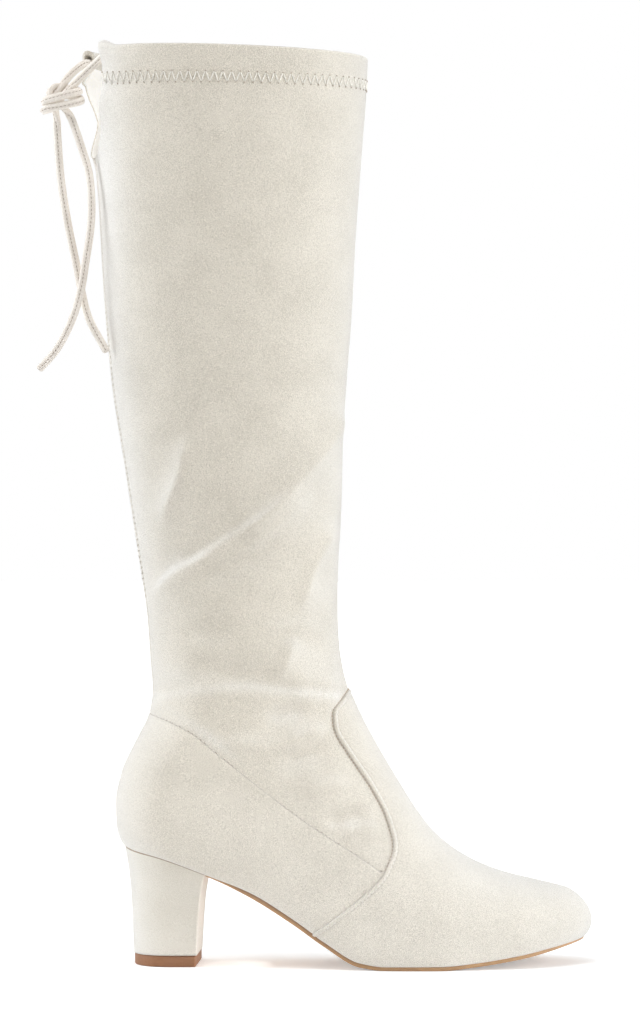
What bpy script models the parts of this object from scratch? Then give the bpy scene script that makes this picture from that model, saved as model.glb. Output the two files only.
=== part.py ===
"""Right knee boot: block heel, thin sole and a hem with a drawcord knotted at the back of the collar.

Sizes are in millimetres and MM turns them into metres. In the tables x runs from the heel's back
to the toe, z is the height over the floor, and the lateral side of the boot is at -y.
"""

import math
from collections import namedtuple

import bmesh
import bpy
import numpy
from mathutils import Vector

MM = 0.001
ORIGIN_X = 114.05

# Sizes of the pieces
GAP = 0.3
WALL = 1.6
HEM_WALL = 3.0
MOUTH_WALL = 7.2
VAMP_THICK = 0.9
COUNTER_THICK = 0.5
PANEL_RISE = 0.6
SOLE_THICK = 2.3
SOLE_THIN_AT_BREAST = 1.0
SOLE_INSET = 0.4
SOLE_CHAMFER = 0.5
INSOLE_THICK = 2.0
LIFT_HEIGHT = 5.7
BREAST_X = 46.4
SEAT_DROP = 0.45
CORD_RADIUS = 2.05

# Rounding of the plan outline and of the section's two sides
TOE_ROUND = 34.0
HEEL_ROUND = 24.0
TOE_BULGE = 8.4
TOE_BULGE_REACH = 66.0
TOE_BULGE_FULLNESS = 0.75
BACK_FULLNESS = 2.2
FRONT_FULLNESS = 2.1
HEEL_BACK_LEAN = 0.35

# Notch at the back of the collar, as angles round the shaft
NOTCH_HALF_ANGLE = math.radians(15.0)
NOTCH_ROUND = 22.0
NOTCH_PUSH = 0.2
FLARE = 6.0
FLARE_ANGLE = math.radians(24.0)
FLARE_START_Z = 432.0
FLARE_RISE = 36.0
MOUTH_ANGLE = math.radians(13.0)
MOUTH_BULGE = 1.4
MOUTH_DROP = 5.5
BORE_RADIUS = 2.4
BORE_DEPTH = 9.0
NUB_RISE = 2.4
NUB_ANGLE = math.radians(14.0)

# Density of the upper's faces
COLUMNS = 26
END_STEPS = (0.05, 0.17, 0.37, 0.65)
FOOT_ROWS = 16
SHAFT_ROWS = 17
NOTCH_STEPS = (0.05, 0.15, 0.32, 0.6, 0.97, 1.0, 1.45, 2.0)
WELD = 0.00002
PANEL_TOP_ROWS = 6
SOLE_EDGE_STEPS = 24
HALVINGS = 40
CUTTER_REACH = 80.0
BORE_SIDES = 12
KNOT_SIDES = 14
KNOT_RINGS = 8
CORD_ROUNDNESS = 2

# Foot sections from the toe tip to the heel's back: where each meets the sole, where it meets the
# ridge, half width at the sole, greatest half width, shift to the medial side, share of its length
# where it is widest
Foot = namedtuple("Foot", "sole_x sole_z ridge_x ridge_z feather half swing peak")
FOOT = [
    Foot(241.4, 13.8, 232.6, 38.2, 27.0, 27.5, 9.0, 0.45),
    Foot(224.0, 10.2, 218.5, 41.6, 31.0, 32.5, 7.8, 0.42),
    Foot(204.0, 6.5, 203.0, 45.4, 36.0, 38.0, 6.0, 0.38),
    Foot(185.0, 4.0, 189.5, 50.4, 40.0, 42.0, 4.0, 0.34),
    Foot(167.0, 2.6, 178.2, 56.4, 42.0, 43.5, 1.5, 0.32),
    Foot(140.0, 2.6, 165.2, 66.6, 39.0, 41.5, -1.2, 0.32),
    Foot(126.0, 4.4, 155.2, 79.0, 34.0, 38.5, -2.5, 0.34),
    Foot(108.0, 14.8, 145.7, 94.0, 28.5, 36.0, -3.0, 0.38),
    Foot(90.0, 27.2, 136.7, 109.0, 25.5, 34.8, -2.5, 0.40),
    Foot(70.0, 39.3, 128.9, 123.0, 25.0, 34.0, -1.5, 0.42),
    Foot(46.0, 48.9, 122.5, 136.6, 27.0, 34.0, -0.5, 0.42),
    Foot(24.0, 57.0, 118.2, 150.0, 27.5, 34.3, 0.0, 0.42),
    Foot(3.8, 62.8, 116.0, 162.0, 27.0, 34.8, 0.0, 0.42),
]

# Shaft sections from the heel up to the collar: back point, front point, half width just inside the
# back's rounding, greatest half width, depth of that rounding, angle of the back seam towards the
# lateral side in degrees, share of the depth where it is widest
Shaft = namedtuple("Shaft", "back_x back_z front_x front_z base half round seam peak")
SHAFT = [
    Shaft(0.6, 73.0, 115.4, 168.5, 28.6, 34.8, 25.0, 0.5, 0.42),
    Shaft(0.2, 84.5, 115.0, 176.0, 30.0, 34.8, 27.0, 1.0, 0.42),
    Shaft(3.4, 100.0, 114.8, 184.0, 31.2, 34.8, 30.0, 2.0, 0.42),
    Shaft(10.6, 115.5, 114.8, 193.0, 32.6, 35.0, 34.0, 3.5, 0.42),
    Shaft(17.2, 129.5, 115.0, 202.5, 34.0, 35.5, 38.0, 5.0, 0.43),
    Shaft(18.7, 142.0, 115.3, 212.0, 35.2, 36.0, 41.0, 6.5, 0.43),
    Shaft(17.6, 156.0, 116.2, 224.0, 36.5, 36.8, 43.0, 8.0, 0.44),
    Shaft(15.6, 182.0, 117.0, 245.0, 38.5, 38.5, 46.0, 9.5, 0.45),
    Shaft(10.5, 216.0, 117.6, 271.0, 40.5, 40.5, 49.0, 10.5, 0.45),
    Shaft(4.0, 258.0, 119.6, 304.0, 43.0, 43.0, 53.0, 11.0, 0.46),
    Shaft(-2.8, 302.0, 122.2, 338.0, 45.0, 45.0, 57.0, 10.5, 0.46),
    Shaft(-7.0, 350.0, 124.0, 374.0, 46.5, 46.5, 60.0, 9.5, 0.46),
    Shaft(-9.4, 392.0, 126.2, 405.0, 47.5, 47.5, 62.0, 8.5, 0.46),
    Shaft(-11.2, 418.0, 127.6, 424.0, 48.0, 48.0, 64.0, 8.0, 0.46),
    Shaft(-12.0, 456.0, 129.8, 452.0, 48.5, 48.5, 65.0, 8.0, 0.46),
    Shaft(-12.4, 475.0, 130.6, 470.6, 48.5, 48.5, 66.0, 8.0, 0.46),
]

# Seams of the two lapped panels in side view
Point = namedtuple("Point", "x z")
VAMP_SEAM = [
    Point(123.0, 146.0),
    Point(117.0, 138.2),
    Point(111.8, 130.5),
    Point(112.6, 122.9),
    Point(120.9, 108.4),
    Point(131.1, 93.2),
    Point(139.6, 76.5),
    Point(142.9, 63.0),
    Point(138.6, 50.2),
    Point(119.1, 31.4),
    Point(106.0, 21.6),
    Point(98.0, 16.0),
]
COUNTER_SEAM = [
    Point(-6.0, 133.0),
    Point(17.8, 129.9),
    Point(36.1, 123.4),
    Point(58.0, 106.7),
    Point(94.0, 78.9),
    Point(128.1, 56.6),
    Point(137.0, 50.4),
]
SEAM_STEPS = 4
FRONT_X = 262.0
FRONT_Z = 190.0

# Heel block from its foot to its seat: share of the height, back, breast, half width, back rounding
Heel = namedtuple("Heel", "share back breast half round")
HEEL = [
    Heel(0.00, 9.0, 42.0, 21.6, 18.0),
    Heel(0.35, 8.2, 42.8, 22.2, 18.5),
    Heel(0.65, 7.2, 43.8, 23.4, 19.5),
    Heel(0.84, 5.8, 45.0, 25.0, 21.0),
    Heel(1.00, 4.2, BREAST_X, 26.6, 23.6),
]
HEEL_TURN_STEPS = 9
LIFT = Heel(0.0, 9.4, 41.6, 21.2, 18.0)

# Drawcord: routes of its strands and ends as points x, y, z
LATERAL_STRAND = [
    (-4.5, -18.5, 469.5), (-6.6, -16.2, 469.2), (-12.0, -13.5, 464.8), (-17.5, -11.5, 459.8),
    (-23.0, -9.5, 454.6),
]
MEDIAL_STRAND = [
    (-15.5, 5.8, 469.5), (-16.9, 3.2, 469.2), (-20.5, 0.0, 465.8), (-24.5, -3.0, 461.0),
    (-28.3, -6.1, 455.3),
]
KNOT_CENTRE = Vector((-28.0, -8.5, 447.4))
KNOT_HALF = Vector((10.8, 6.0, 7.2))
BACK_END = [
    (-31.0, -8.5, 440.1), (-30.3, -8.8, 428.0), (-28.5, -9.5, 406.4), (-24.9, -10.0, 383.8),
    (-20.1, -11.0, 360.7), (-17.7, -12.5, 348.7), (-13.9, -14.5, 334.7), (-4.4, -17.0, 317.0),
]
FRONT_END = [
    (-24.2, -8.5, 440.2), (-17.9, -11.0, 423.4), (-13.8, -14.0, 409.4), (-12.3, -16.5, 392.6),
    (-12.9, -17.5, 379.6), (-15.2, -18.5, 363.9), (-17.8, -19.0, 348.2), (-22.3, -19.0, 333.5),
    (-30.4, -18.5, 318.1), (-39.5, -18.0, 307.8),
]
ROUTE_STEPS = 2

# Colours of the materials
SUEDE = (0.76, 0.73, 0.66, 1.0)
TAN = (0.40, 0.22, 0.11, 1.0)
BROWN = (0.22, 0.11, 0.06, 1.0)
LINING = (0.70, 0.66, 0.58, 1.0)

Section = namedtuple("Section", "back_x back_z front_x front_z base half round swing seam peak")
SECTIONS = [
    Section(
        f.sole_x, f.sole_z, f.ridge_x, f.ridge_z, f.feather, f.half, HEEL_ROUND, f.swing, 0.0, f.peak
    )
    for f in FOOT
] + [
    Section(r.back_x, r.back_z, r.front_x, r.front_z, r.base, r.half, r.round, 0.0, r.seam, r.peak)
    for r in SHAFT
]
HEEL_ROW = len(FOOT) - 1
TOP_ROW = len(SECTIONS) - 1
NOTCH_ROW = TOP_ROW - 2
HEM_ROW = TOP_ROW - 1
TIP = FOOT[0]
HEEL_BACK = FOOT[-1]


def eased(values, place):
    """Read a column of a table between its rows, without overshoot."""
    steps = [after - before for before, after in zip(values, values[1:])]
    tangents = [steps[0]]
    for before, after in zip(steps, steps[1:]):
        turns = before * after <= 0.0
        tangents.append(0.0 if turns else 2.0 * before * after / (before + after))
    tangents.append(steps[-1])
    row = min(int(place), len(values) - 2)
    u = place - row
    rise = u * u * (3.0 - 2.0 * u)
    start = u * (1.0 - u) ** 2
    end = u * u * (u - 1.0)
    return values[row] + steps[row] * rise + tangents[row] * start + tangents[row + 1] * end


BACK_LINE_STEPS = 20
BACK_LINE = [HEEL_ROW + k / BACK_LINE_STEPS for k in range(len(SHAFT) * BACK_LINE_STEPS + 1)]
BACK_LINE_X = [eased([row.back_x for row in SECTIONS], place) for place in BACK_LINE]
BACK_LINE_Z = [eased([row.back_z for row in SECTIONS], place) for place in BACK_LINE]


def rounding(distance, radius):
    """Share of the width left at a distance from a rounded end."""
    inside = 1.0 - min(max(distance / radius, 0.0), 1.0)
    return math.sqrt(1.0 - inside * inside)


def blend(value):
    """Smooth step from 0 to 1."""
    share = min(max(value, 0.0), 1.0)
    return share * share * (3.0 - 2.0 * share)


def section_at(place):
    """Section of the upper at a place counted in table rows."""
    return Section(*[eased(column, place) for column in zip(*SECTIONS)])


def back_x(z):
    """Back line of the boot at a height, carried on below the heel seat."""
    if z <= HEEL_BACK.sole_z:
        return HEEL_BACK.sole_x + (HEEL_BACK.sole_z - z) * HEEL_BACK_LEAN
    return float(numpy.interp(z, BACK_LINE_Z, BACK_LINE_X))


def sole_half(section, inset=0.0):
    """Half width of the sole's outline at a section, drawn in by an inset."""
    toe = rounding(TIP.sole_x - inset - section.back_x, TOE_ROUND - inset)
    heel = rounding(section.back_x - back_x(section.back_z) - inset, HEEL_ROUND - inset)
    return (section.base - inset) * toe * heel


def notch_angle(place):
    """Half opening of the collar's notch at a place along the shaft."""
    if place <= NOTCH_ROW:
        return 0.0
    section = section_at(place)
    return NOTCH_HALF_ANGLE * rounding(section.back_z - SECTIONS[NOTCH_ROW].back_z, NOTCH_ROUND)


def column_angle(place, turn):
    """Angle from the back seam for a column, pushed aside near the notch."""
    lateral = max(0.0, 1.0 - turn / NOTCH_PUSH) ** 2
    medial = max(0.0, 1.0 - (1.0 - turn) / NOTCH_PUSH) ** 2
    return 2.0 * math.pi * turn + notch_angle(place) * (lateral - medial)


def edge_angles(place, turn):
    """Angles from the notch's lateral and medial edges."""
    opening = notch_angle(place)
    angle = column_angle(place, turn)
    return angle - opening, 2.0 * math.pi - opening - angle


def skin_point(place, turn):
    """Point of the upper's outer face, turn 0 to 1 from the back seam round the lateral side."""
    section = section_at(place)
    angle = math.radians(section.seam) + column_angle(place, turn)
    share = (1.0 - math.cos(angle)) / 2.0
    x = section.back_x + share * (section.front_x - section.back_x)
    z = section.back_z + share * (section.front_z - section.back_z)
    if share < section.peak:
        inside = 1.0 - share / section.peak
        rise = (1.0 - inside**BACK_FULLNESS) ** (1.0 / BACK_FULLNESS)
        width = section.base + (section.half - section.base) * rise
        width *= rounding(x - back_x(z), section.round)
    else:
        inside = (share - section.peak) / (1.0 - section.peak)
        width = section.half * math.sqrt(max(0.0, 1.0 - inside**FRONT_FULLNESS))
    if place < HEEL_ROW:
        width *= rounding(TIP.sole_x - section.back_x, TOE_ROUND)
        reach = max(0.0, 1.0 - (TIP.sole_x - section.back_x) / TOE_BULGE_REACH)
        x += TOE_BULGE * reach * reach * (4.0 * share * (1.0 - share)) ** TOE_BULGE_FULLNESS
    x -= flare(place, turn)
    if place > HEM_ROW:
        z += NUB_RISE * (place - HEM_ROW) * blend(1.0 - edge_angles(place, turn)[0] / NUB_ANGLE)
    y = section.swing - width if math.sin(angle) >= 0.0 else section.swing + width
    return Vector((x, y, z))


def flare(place, turn):
    """Backward lean of the notch's medial flap and the swell of both tunnel mouths."""
    if place <= NOTCH_ROW:
        return 0.0
    height = section_at(place).back_z
    from_lateral, from_medial = edge_angles(place, turn)
    lean = FLARE * blend((height - FLARE_START_Z) / FLARE_RISE)
    lean *= math.exp(-((from_medial / FLARE_ANGLE) ** 2))
    swell = MOUTH_BULGE * mouth_share(place, min(from_lateral, from_medial))
    return lean + swell


def mouth_share(place, from_edge):
    """How much of the tunnel's swell there is at an angle from the notch's edge."""
    if place <= HEM_ROW:
        return 0.0
    return blend(1.0 - from_edge / (2.0 * MOUTH_ANGLE))


def sole_place(x):
    """Place along the foot's table where the section meets the sole at x."""
    low, high = 0.0, float(HEEL_ROW)
    for _ in range(HALVINGS):
        middle = (low + high) / 2.0
        if section_at(middle).back_x > x:
            low = middle
        else:
            high = middle
    return low


def sole_z(x):
    """Height of the upper's lower edge at x."""
    return section_at(sole_place(x)).back_z


def through(points, steps):
    """Points along a smooth curve through hand-placed ones."""
    last = float(len(points) - 1)
    columns = list(zip(*points))
    count = steps * (len(points) - 1)
    return [tuple(eased(column, last * k / count) for column in columns) for k in range(count + 1)]


def placed(point):
    """Table point in the object's own frame, in metres."""
    return Vector((point[0] - ORIGIN_X, point[1], point[2])) * MM


def foot_places():
    """Places along the foot, crowded at the toe and the heel, where the outline turns."""
    last = float(HEEL_ROW)
    inner = [1.0 + (last - 2.0) * k / FOOT_ROWS for k in range(FOOT_ROWS + 1)]
    return [0.0, *END_STEPS, *inner, *[last - step for step in reversed(END_STEPS)], last]


def upper_places():
    """Places of the upper's rows from the toe to the collar."""
    climb = NOTCH_ROW - HEEL_ROW
    shaft = [HEEL_ROW + climb * k / SHAFT_ROWS for k in range(1, SHAFT_ROWS + 1)]
    notch = [NOTCH_ROW + step for step in NOTCH_STEPS]
    return foot_places() + shaft + notch


def new_object(name, mesh, collection):
    """Object for a mesh, linked to its collection."""
    item = bpy.data.objects.new(name, mesh)
    collection.objects.link(item)
    return item


def mesh_from(name, vertices, faces):
    """Mesh with welded corners and outward faces."""
    mesh = bpy.data.meshes.new(name)
    build = bmesh.new()
    corners = [build.verts.new(vertex) for vertex in vertices]
    for face in faces:
        build.faces.new([corners[index] for index in face])
    bmesh.ops.remove_doubles(build, verts=build.verts, dist=WELD)
    bmesh.ops.dissolve_degenerate(build, edges=build.edges, dist=WELD)
    bmesh.ops.recalc_face_normals(build, faces=build.faces)
    build.to_mesh(mesh)
    build.free()
    return mesh


def loft(name, rings, collection):
    """Closed solid through rings with equal numbers of points."""
    size = len(rings[0])
    vertices = [placed(point) for ring in rings for point in ring]
    faces = []
    for row in range(len(rings) - 1):
        for k in range(size):
            after = (k + 1) % size
            first = row * size
            second = first + size
            faces.append((first + k, first + after, second + after, second + k))
    faces.append(tuple(reversed(range(size))))
    faces.append(tuple(range((len(rings) - 1) * size, len(rings) * size)))
    return new_object(name, mesh_from(name, vertices, faces), collection)


def skin(name, places, collection):
    """Open face of the upper over the given rows, with its outside outward."""
    vertices = [placed(skin_point(place, k / COLUMNS)) for place in places for k in range(COLUMNS + 1)]
    width = COLUMNS + 1
    faces = []
    for row in range(len(places) - 1):
        for k in range(COLUMNS):
            first = row * width + k
            second = first + width
            faces.append((first, first + 1, second + 1, second))
    mesh = mesh_from(name, vertices, faces)
    halve = bmesh.new()
    halve.from_mesh(mesh)
    bmesh.ops.triangulate(halve, faces=halve.faces, quad_method="SHORT_EDGE")
    halve.to_mesh(mesh)
    halve.free()
    return new_object(name, mesh, collection)


def face_outward(item):
    """Turn an open skin so that its faces look away from the boot's inside."""
    mesh = item.data
    ridge = max(mesh.polygons, key=lambda face: face.center.x)
    if ridge.normal.x < 0.0:
        mesh.flip_normals()


def wall_weight(place, turn):
    """Wall at a place as a share of the thickest one, at the tunnel's mouths."""
    if place <= HEM_ROW:
        return WALL / MOUTH_WALL
    from_edge = min(edge_angles(place, turn))
    wall = HEM_WALL + (MOUTH_WALL - HEM_WALL) * mouth_share(place, from_edge)
    return wall / MOUTH_WALL


def weigh_wall(item, places):
    """Give each corner of the upper the share of wall that it carries."""
    group = item.vertex_groups.new(name="wall")
    weights = {}
    for place in places:
        for k in range(COLUMNS + 1):
            turn = k / COLUMNS
            spot = placed(skin_point(place, turn))
            weights[tuple(round(value, 5) for value in spot)] = wall_weight(place, turn)
    plain = WALL / MOUTH_WALL
    for vertex in item.data.vertices:
        key = tuple(round(value, 5) for value in vertex.co)
        group.add([vertex.index], weights.get(key, plain), "REPLACE")
    return group.name


def thicken(item, thickness, offset, group=""):
    """Give a skin its wall."""
    wall = item.modifiers.new("wall", "SOLIDIFY")
    wall.thickness = thickness * MM
    wall.offset = offset
    wall.use_even_offset = True
    wall.use_quality_normals = True
    if group:
        wall.vertex_group = group
        wall.thickness_vertex_group = 0.0


def lift_off(item, distance):
    """Move a skin outward along its own normals."""
    raise_by = item.modifiers.new("lift", "DISPLACE")
    raise_by.strength = distance * MM
    raise_by.mid_level = 0.0
    raise_by.direction = "NORMAL"


def boolean(item, cutter, operation):
    """Cut an item with, or keep it inside, a cutter."""
    cut = item.modifiers.new(operation.lower(), "BOOLEAN")
    cut.operation = operation
    cut.object = cutter
    cut.solver = "EXACT"


def prism(name, outline, half_depth, collection):
    """Cutter with a side-view outline, reaching across the boot."""
    near = [(point[0], -half_depth, point[1]) for point in outline]
    far = [(point[0], half_depth, point[1]) for point in outline]
    return hidden(loft(name, [near, far], collection))


def hidden(item):
    """Mark an object as a cutter."""
    item.hide_render = True
    item.display_type = "WIRE"
    return item


def material(name, colour, roughness):
    """Principled material."""
    made = bpy.data.materials.new(name)
    made.use_nodes = True
    shader = made.node_tree.nodes["Principled BSDF"]
    shader.inputs["Base Color"].default_value = colour
    shader.inputs["Roughness"].default_value = roughness
    return made


def paint(item, made):
    """Give an object its one material."""
    item.data.materials.clear()
    item.data.materials.append(made)


def sole_rows(inset, end_x):
    """Places of a sole piece's rows, from its toe tip to its end."""
    first = sole_place(TIP.sole_x - inset)
    last = sole_place(end_x)
    return [first] + [place for place in foot_places() if first < place < last] + [last]


def sole_ring(place, inset, lower, upper, chamfer):
    """Cross section of a flat-lying sole piece between two heights over the upper's lower edge."""
    section = section_at(place)
    half = sole_half(section, inset)
    under = max(half - chamfer, 0.0)
    x, z, middle = section.back_x, section.back_z, section.swing
    return [
        (x, middle - half, z + upper),
        (x, middle + half, z + upper),
        (x, middle + half, z + lower + min(chamfer, upper - lower)),
        (x, middle + under, z + lower),
        (x, middle - under, z + lower),
        (x, middle - half, z + lower + min(chamfer, upper - lower)),
    ]


def make_outsole(collection):
    """Thin sole from the toe to the heel breast."""
    rings = []
    for place in sole_rows(SOLE_INSET, BREAST_X + GAP):
        thinned = blend((section_at(place).back_x - BREAST_X) / TOE_ROUND)
        thick = SOLE_THIN_AT_BREAST + (SOLE_THICK - SOLE_THIN_AT_BREAST) * thinned
        rings.append(sole_ring(place, SOLE_INSET, -GAP - thick, -GAP, SOLE_CHAMFER))
    return loft("outsole", rings, collection)


def make_insole(collection):
    """Board inside the upper, over the outsole and the heel seat."""
    inset = WALL + GAP
    rows = sole_rows(inset, HEEL_BACK.sole_x + inset)
    rings = [sole_ring(place, inset, 0.0, INSOLE_THICK, 0.0) for place in rows]
    return loft("insole", rings, collection)


def heel_outline(row):
    """Plan outline of the heel at one height: points x, y from one breast corner to the other."""
    side = []
    for k in range(HEEL_TURN_STEPS + 1):
        turn = math.pi / 2.0 * k / HEEL_TURN_STEPS
        x = row.back + row.round * (1.0 - math.sin(turn))
        side.append((x, -row.half * math.cos(turn)))
    return [(row.breast, -row.half)] + side + [(x, -y) for x, y in reversed(side[:-1])] + [
        (row.breast, row.half)
    ]


def make_heel(collection):
    """Covered block from the top lift to the heel seat."""
    foot = LIFT_HEIGHT + GAP
    rings = []
    for row in HEEL:
        ring = []
        for x, y in heel_outline(row):
            seat = sole_z(min(max(x, HEEL_BACK.sole_x), BREAST_X)) - SEAT_DROP
            ring.append((x, y, foot + row.share * (seat - foot)))
        rings.append(ring)
    return loft("heel_block", rings, collection)


def make_lift(collection):
    """Wear piece under the heel block."""
    outline = heel_outline(LIFT)
    rings = [[(x, y, height) for x, y in outline] for height in (0.0, LIFT_HEIGHT)]
    return loft("heel_top_lift", rings, collection)


def sole_edge(start_x, end_x):
    """Side-view line just over the upper's lower edge."""
    step = (end_x - start_x) / SOLE_EDGE_STEPS
    line = [start_x + step * k for k in range(SOLE_EDGE_STEPS + 1)]
    return [(x, sole_z(min(max(x, HEEL_BACK.sole_x), TIP.sole_x)) + PANEL_RISE) for x in line]


def make_panel(name, outline, thick, places, collection, cutters):
    """Lapped panel: a layer of the upper's own form inside a side-view outline."""
    panel = skin(name, places, collection)
    face_outward(panel)
    lift_off(panel, GAP)
    thicken(panel, thick, 1.0)
    boolean(panel, prism(name + "_outline", outline, CUTTER_REACH, cutters), "INTERSECT")
    return panel


def make_bore(name, place, turn, step, collection):
    """Cutter for a mouth of the drawcord's tunnel, running into the hem from the notch's edge."""
    top = skin_point(place, turn)
    along = skin_point(place, turn + step) - top
    along.z = 0.0
    along.normalize()
    inward = Vector((along.y, -along.x, 0.0))
    if inward.x < 0.0:
        inward = -inward
    middle = top + inward * (MOUTH_WALL / 2.0)
    middle.z = section_at(place).back_z - MOUTH_DROP
    mesh = bpy.data.meshes.new(name)
    build = bmesh.new()
    bmesh.ops.create_cone(
        build, cap_ends=True, segments=BORE_SIDES, radius1=BORE_RADIUS * MM, radius2=BORE_RADIUS * MM,
        depth=2.0 * BORE_DEPTH * MM,
    )
    build.to_mesh(mesh)
    build.free()
    bore = new_object(name, mesh, collection)
    bore.rotation_mode = "QUATERNION"
    bore.rotation_quaternion = along.to_track_quat("Z", "Y")
    bore.location = placed(middle)
    return hidden(bore)


def make_tube(name, route, collection):
    """Round cord along a route."""
    points = through(route, ROUTE_STEPS)
    curve = bpy.data.curves.new(name, "CURVE")
    curve.dimensions = "3D"
    curve.bevel_depth = CORD_RADIUS * MM
    curve.bevel_resolution = CORD_ROUNDNESS
    curve.use_fill_caps = True
    spline = curve.splines.new("POLY")
    spline.points.add(len(points) - 1)
    for corner, point in zip(spline.points, points):
        spot = placed(point)
        corner.co = (spot.x, spot.y, spot.z, 1.0)
    return new_object(name, curve, collection)


def make_knot(collection):
    """Plain lump where the two strands are tied."""
    mesh = bpy.data.meshes.new("drawcord_knot")
    build = bmesh.new()
    bmesh.ops.create_uvsphere(build, u_segments=KNOT_SIDES, v_segments=KNOT_RINGS, radius=1.0)
    for vertex in build.verts:
        local = Vector((vertex.co.x * KNOT_HALF.x, vertex.co.y * KNOT_HALF.y, vertex.co.z * KNOT_HALF.z))
        vertex.co = placed(KNOT_CENTRE + local)
    build.to_mesh(mesh)
    build.free()
    return new_object("drawcord_knot", mesh, collection)


def make_upper(collection, cutters):
    """Hollow upper, open at the collar, at the notch and underneath."""
    places = upper_places()
    upper = skin("upper", places, collection)
    face_outward(upper)
    group = weigh_wall(upper, places)
    thicken(upper, MOUTH_WALL, -1.0, group)
    step = 1.0 / COLUMNS
    boolean(upper, make_bore("lateral_bore", TOP_ROW, 0.0, step, cutters), "DIFFERENCE")
    boolean(upper, make_bore("medial_bore", TOP_ROW, 1.0, -step, cutters), "DIFFERENCE")
    return upper


def panel_outlines():
    """Side-view outlines of the vamp panel and of the counter panel."""
    whole = through(VAMP_SEAM, SEAM_STEPS)
    seam = [point for point in whole if point[1] > sole_z(point[0]) + PANEL_RISE]
    toe = [point for point in sole_edge(VAMP_SEAM[-1].x, TIP.sole_x) if point[0] > seam[-1][0]]
    front = [(FRONT_X, toe[-1][1]), (FRONT_X, FRONT_Z), (VAMP_SEAM[0].x, FRONT_Z)]
    counter = through(COUNTER_SEAM, SEAM_STEPS)
    lap = GAP + VAMP_THICK
    behind = [(x - lap, z) for x, z in seam if z < counter[-1][1]]
    heel = sole_edge(behind[-1][0], HEEL_BACK.sole_x)[1:]
    back = [(COUNTER_SEAM[0].x, heel[-1][1])]
    return seam + toe + front, counter + behind + heel + back


def build():
    """Make every piece of the boot."""
    for item in list(bpy.data.objects):
        bpy.data.objects.remove(item)
    scene = bpy.context.scene.collection
    boot = bpy.data.collections.new("slouch_boot")
    cutters = bpy.data.collections.new("cutters")
    scene.children.link(boot)
    scene.children.link(cutters)

    suede = material("suede", SUEDE, 0.95)
    tan = material("sole_tan", TAN, 0.6)
    brown = material("lift_brown", BROWN, 0.5)
    lining = material("lining", LINING, 0.9)

    paint(make_outsole(boot), tan)
    paint(make_insole(boot), lining)
    paint(make_heel(boot), suede)
    paint(make_lift(boot), brown)
    paint(make_upper(boot, cutters), suede)
    vamp_outline, counter_outline = panel_outlines()
    places = upper_places()
    lower = [place for place in places if place <= HEEL_ROW + PANEL_TOP_ROWS]
    paint(make_panel("vamp_panel", vamp_outline, VAMP_THICK, lower, boot, cutters), suede)
    paint(make_panel("counter_panel", counter_outline, COUNTER_THICK, lower, boot, cutters), suede)
    paint(make_tube("drawcord_lateral_strand", LATERAL_STRAND, boot), suede)
    paint(make_tube("drawcord_medial_strand", MEDIAL_STRAND, boot), suede)
    paint(make_knot(boot), suede)
    paint(make_tube("drawcord_back_end", BACK_END, boot), suede)
    paint(make_tube("drawcord_front_end", FRONT_END, boot), suede)


build()
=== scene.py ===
"""Looks of a right knee boot in pale faux suede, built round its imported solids.

Tables are in millimetres: x runs from the heel's back to the toe, z is the height over the floor and
the lateral side is at -y. Meshes are placed in metres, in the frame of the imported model.
"""

from __future__ import annotations

import logging
import math
from dataclasses import dataclass, field
from enum import Enum, IntEnum
from typing import ClassVar, NamedTuple

import bmesh
import bpy
import numpy as np
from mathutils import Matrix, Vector

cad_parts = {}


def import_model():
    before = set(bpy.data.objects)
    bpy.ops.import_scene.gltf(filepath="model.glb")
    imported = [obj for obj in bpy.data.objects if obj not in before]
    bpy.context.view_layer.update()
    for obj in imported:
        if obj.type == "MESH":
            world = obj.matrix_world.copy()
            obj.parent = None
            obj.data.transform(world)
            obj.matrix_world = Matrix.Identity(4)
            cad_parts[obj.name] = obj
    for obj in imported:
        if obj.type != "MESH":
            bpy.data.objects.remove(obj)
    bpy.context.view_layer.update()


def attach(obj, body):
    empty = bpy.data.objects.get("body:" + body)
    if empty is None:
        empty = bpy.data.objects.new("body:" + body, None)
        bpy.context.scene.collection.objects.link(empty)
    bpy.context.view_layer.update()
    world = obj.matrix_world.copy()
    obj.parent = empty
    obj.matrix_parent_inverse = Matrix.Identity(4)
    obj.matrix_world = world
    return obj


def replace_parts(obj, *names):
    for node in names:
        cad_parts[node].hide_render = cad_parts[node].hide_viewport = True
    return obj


Array = np.ndarray
Points = tuple[tuple[float, float], ...]
Socket = bpy.types.NodeSocket
Material = bpy.types.Material
Piece = bpy.types.Object
LOG = logging.getLogger("knee_boot")
MM = 0.001
ORIGIN_X = 114.05
BODY = "root"
FULL_TURN = 2.0 * math.pi
CURVE_STEPS = 24
SHARP_ANGLE = math.radians(40.0)
THREAD_END = 0.15
THREAD_END_REACH = 1.2
WHITE = (1.0, 1.0, 1.0, 1.0)


class Side(Enum):
    """Side of the boot that a fold lies on."""

    LATERAL = -1.0
    MEDIAL = 1.0


class Form(Enum):
    """How a fold is shaped across its line."""

    ROUND = "round"
    STEP = "step"


class Column(IntEnum):
    """Columns of the last's section table."""

    BACK_X = 0
    BACK_Z = 1
    FRONT_X = 2
    FRONT_Z = 3
    BASE = 4
    HALF = 5
    ROUND = 6
    SWING = 7
    SEAM = 8
    PEAK = 9


class Foot(NamedTuple):
    """Foot section: where it meets the sole and the ridge, its half widths, shift and widest share."""

    sole_x: float
    sole_z: float
    ridge_x: float
    ridge_z: float
    feather: float
    half: float
    swing: float
    peak: float


class Shaft(NamedTuple):
    """Shaft section: back and front points, half widths, back rounding, seam angle and widest share."""

    back_x: float
    back_z: float
    front_x: float
    front_z: float
    base: float
    half: float
    round: float
    seam: float
    peak: float


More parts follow.
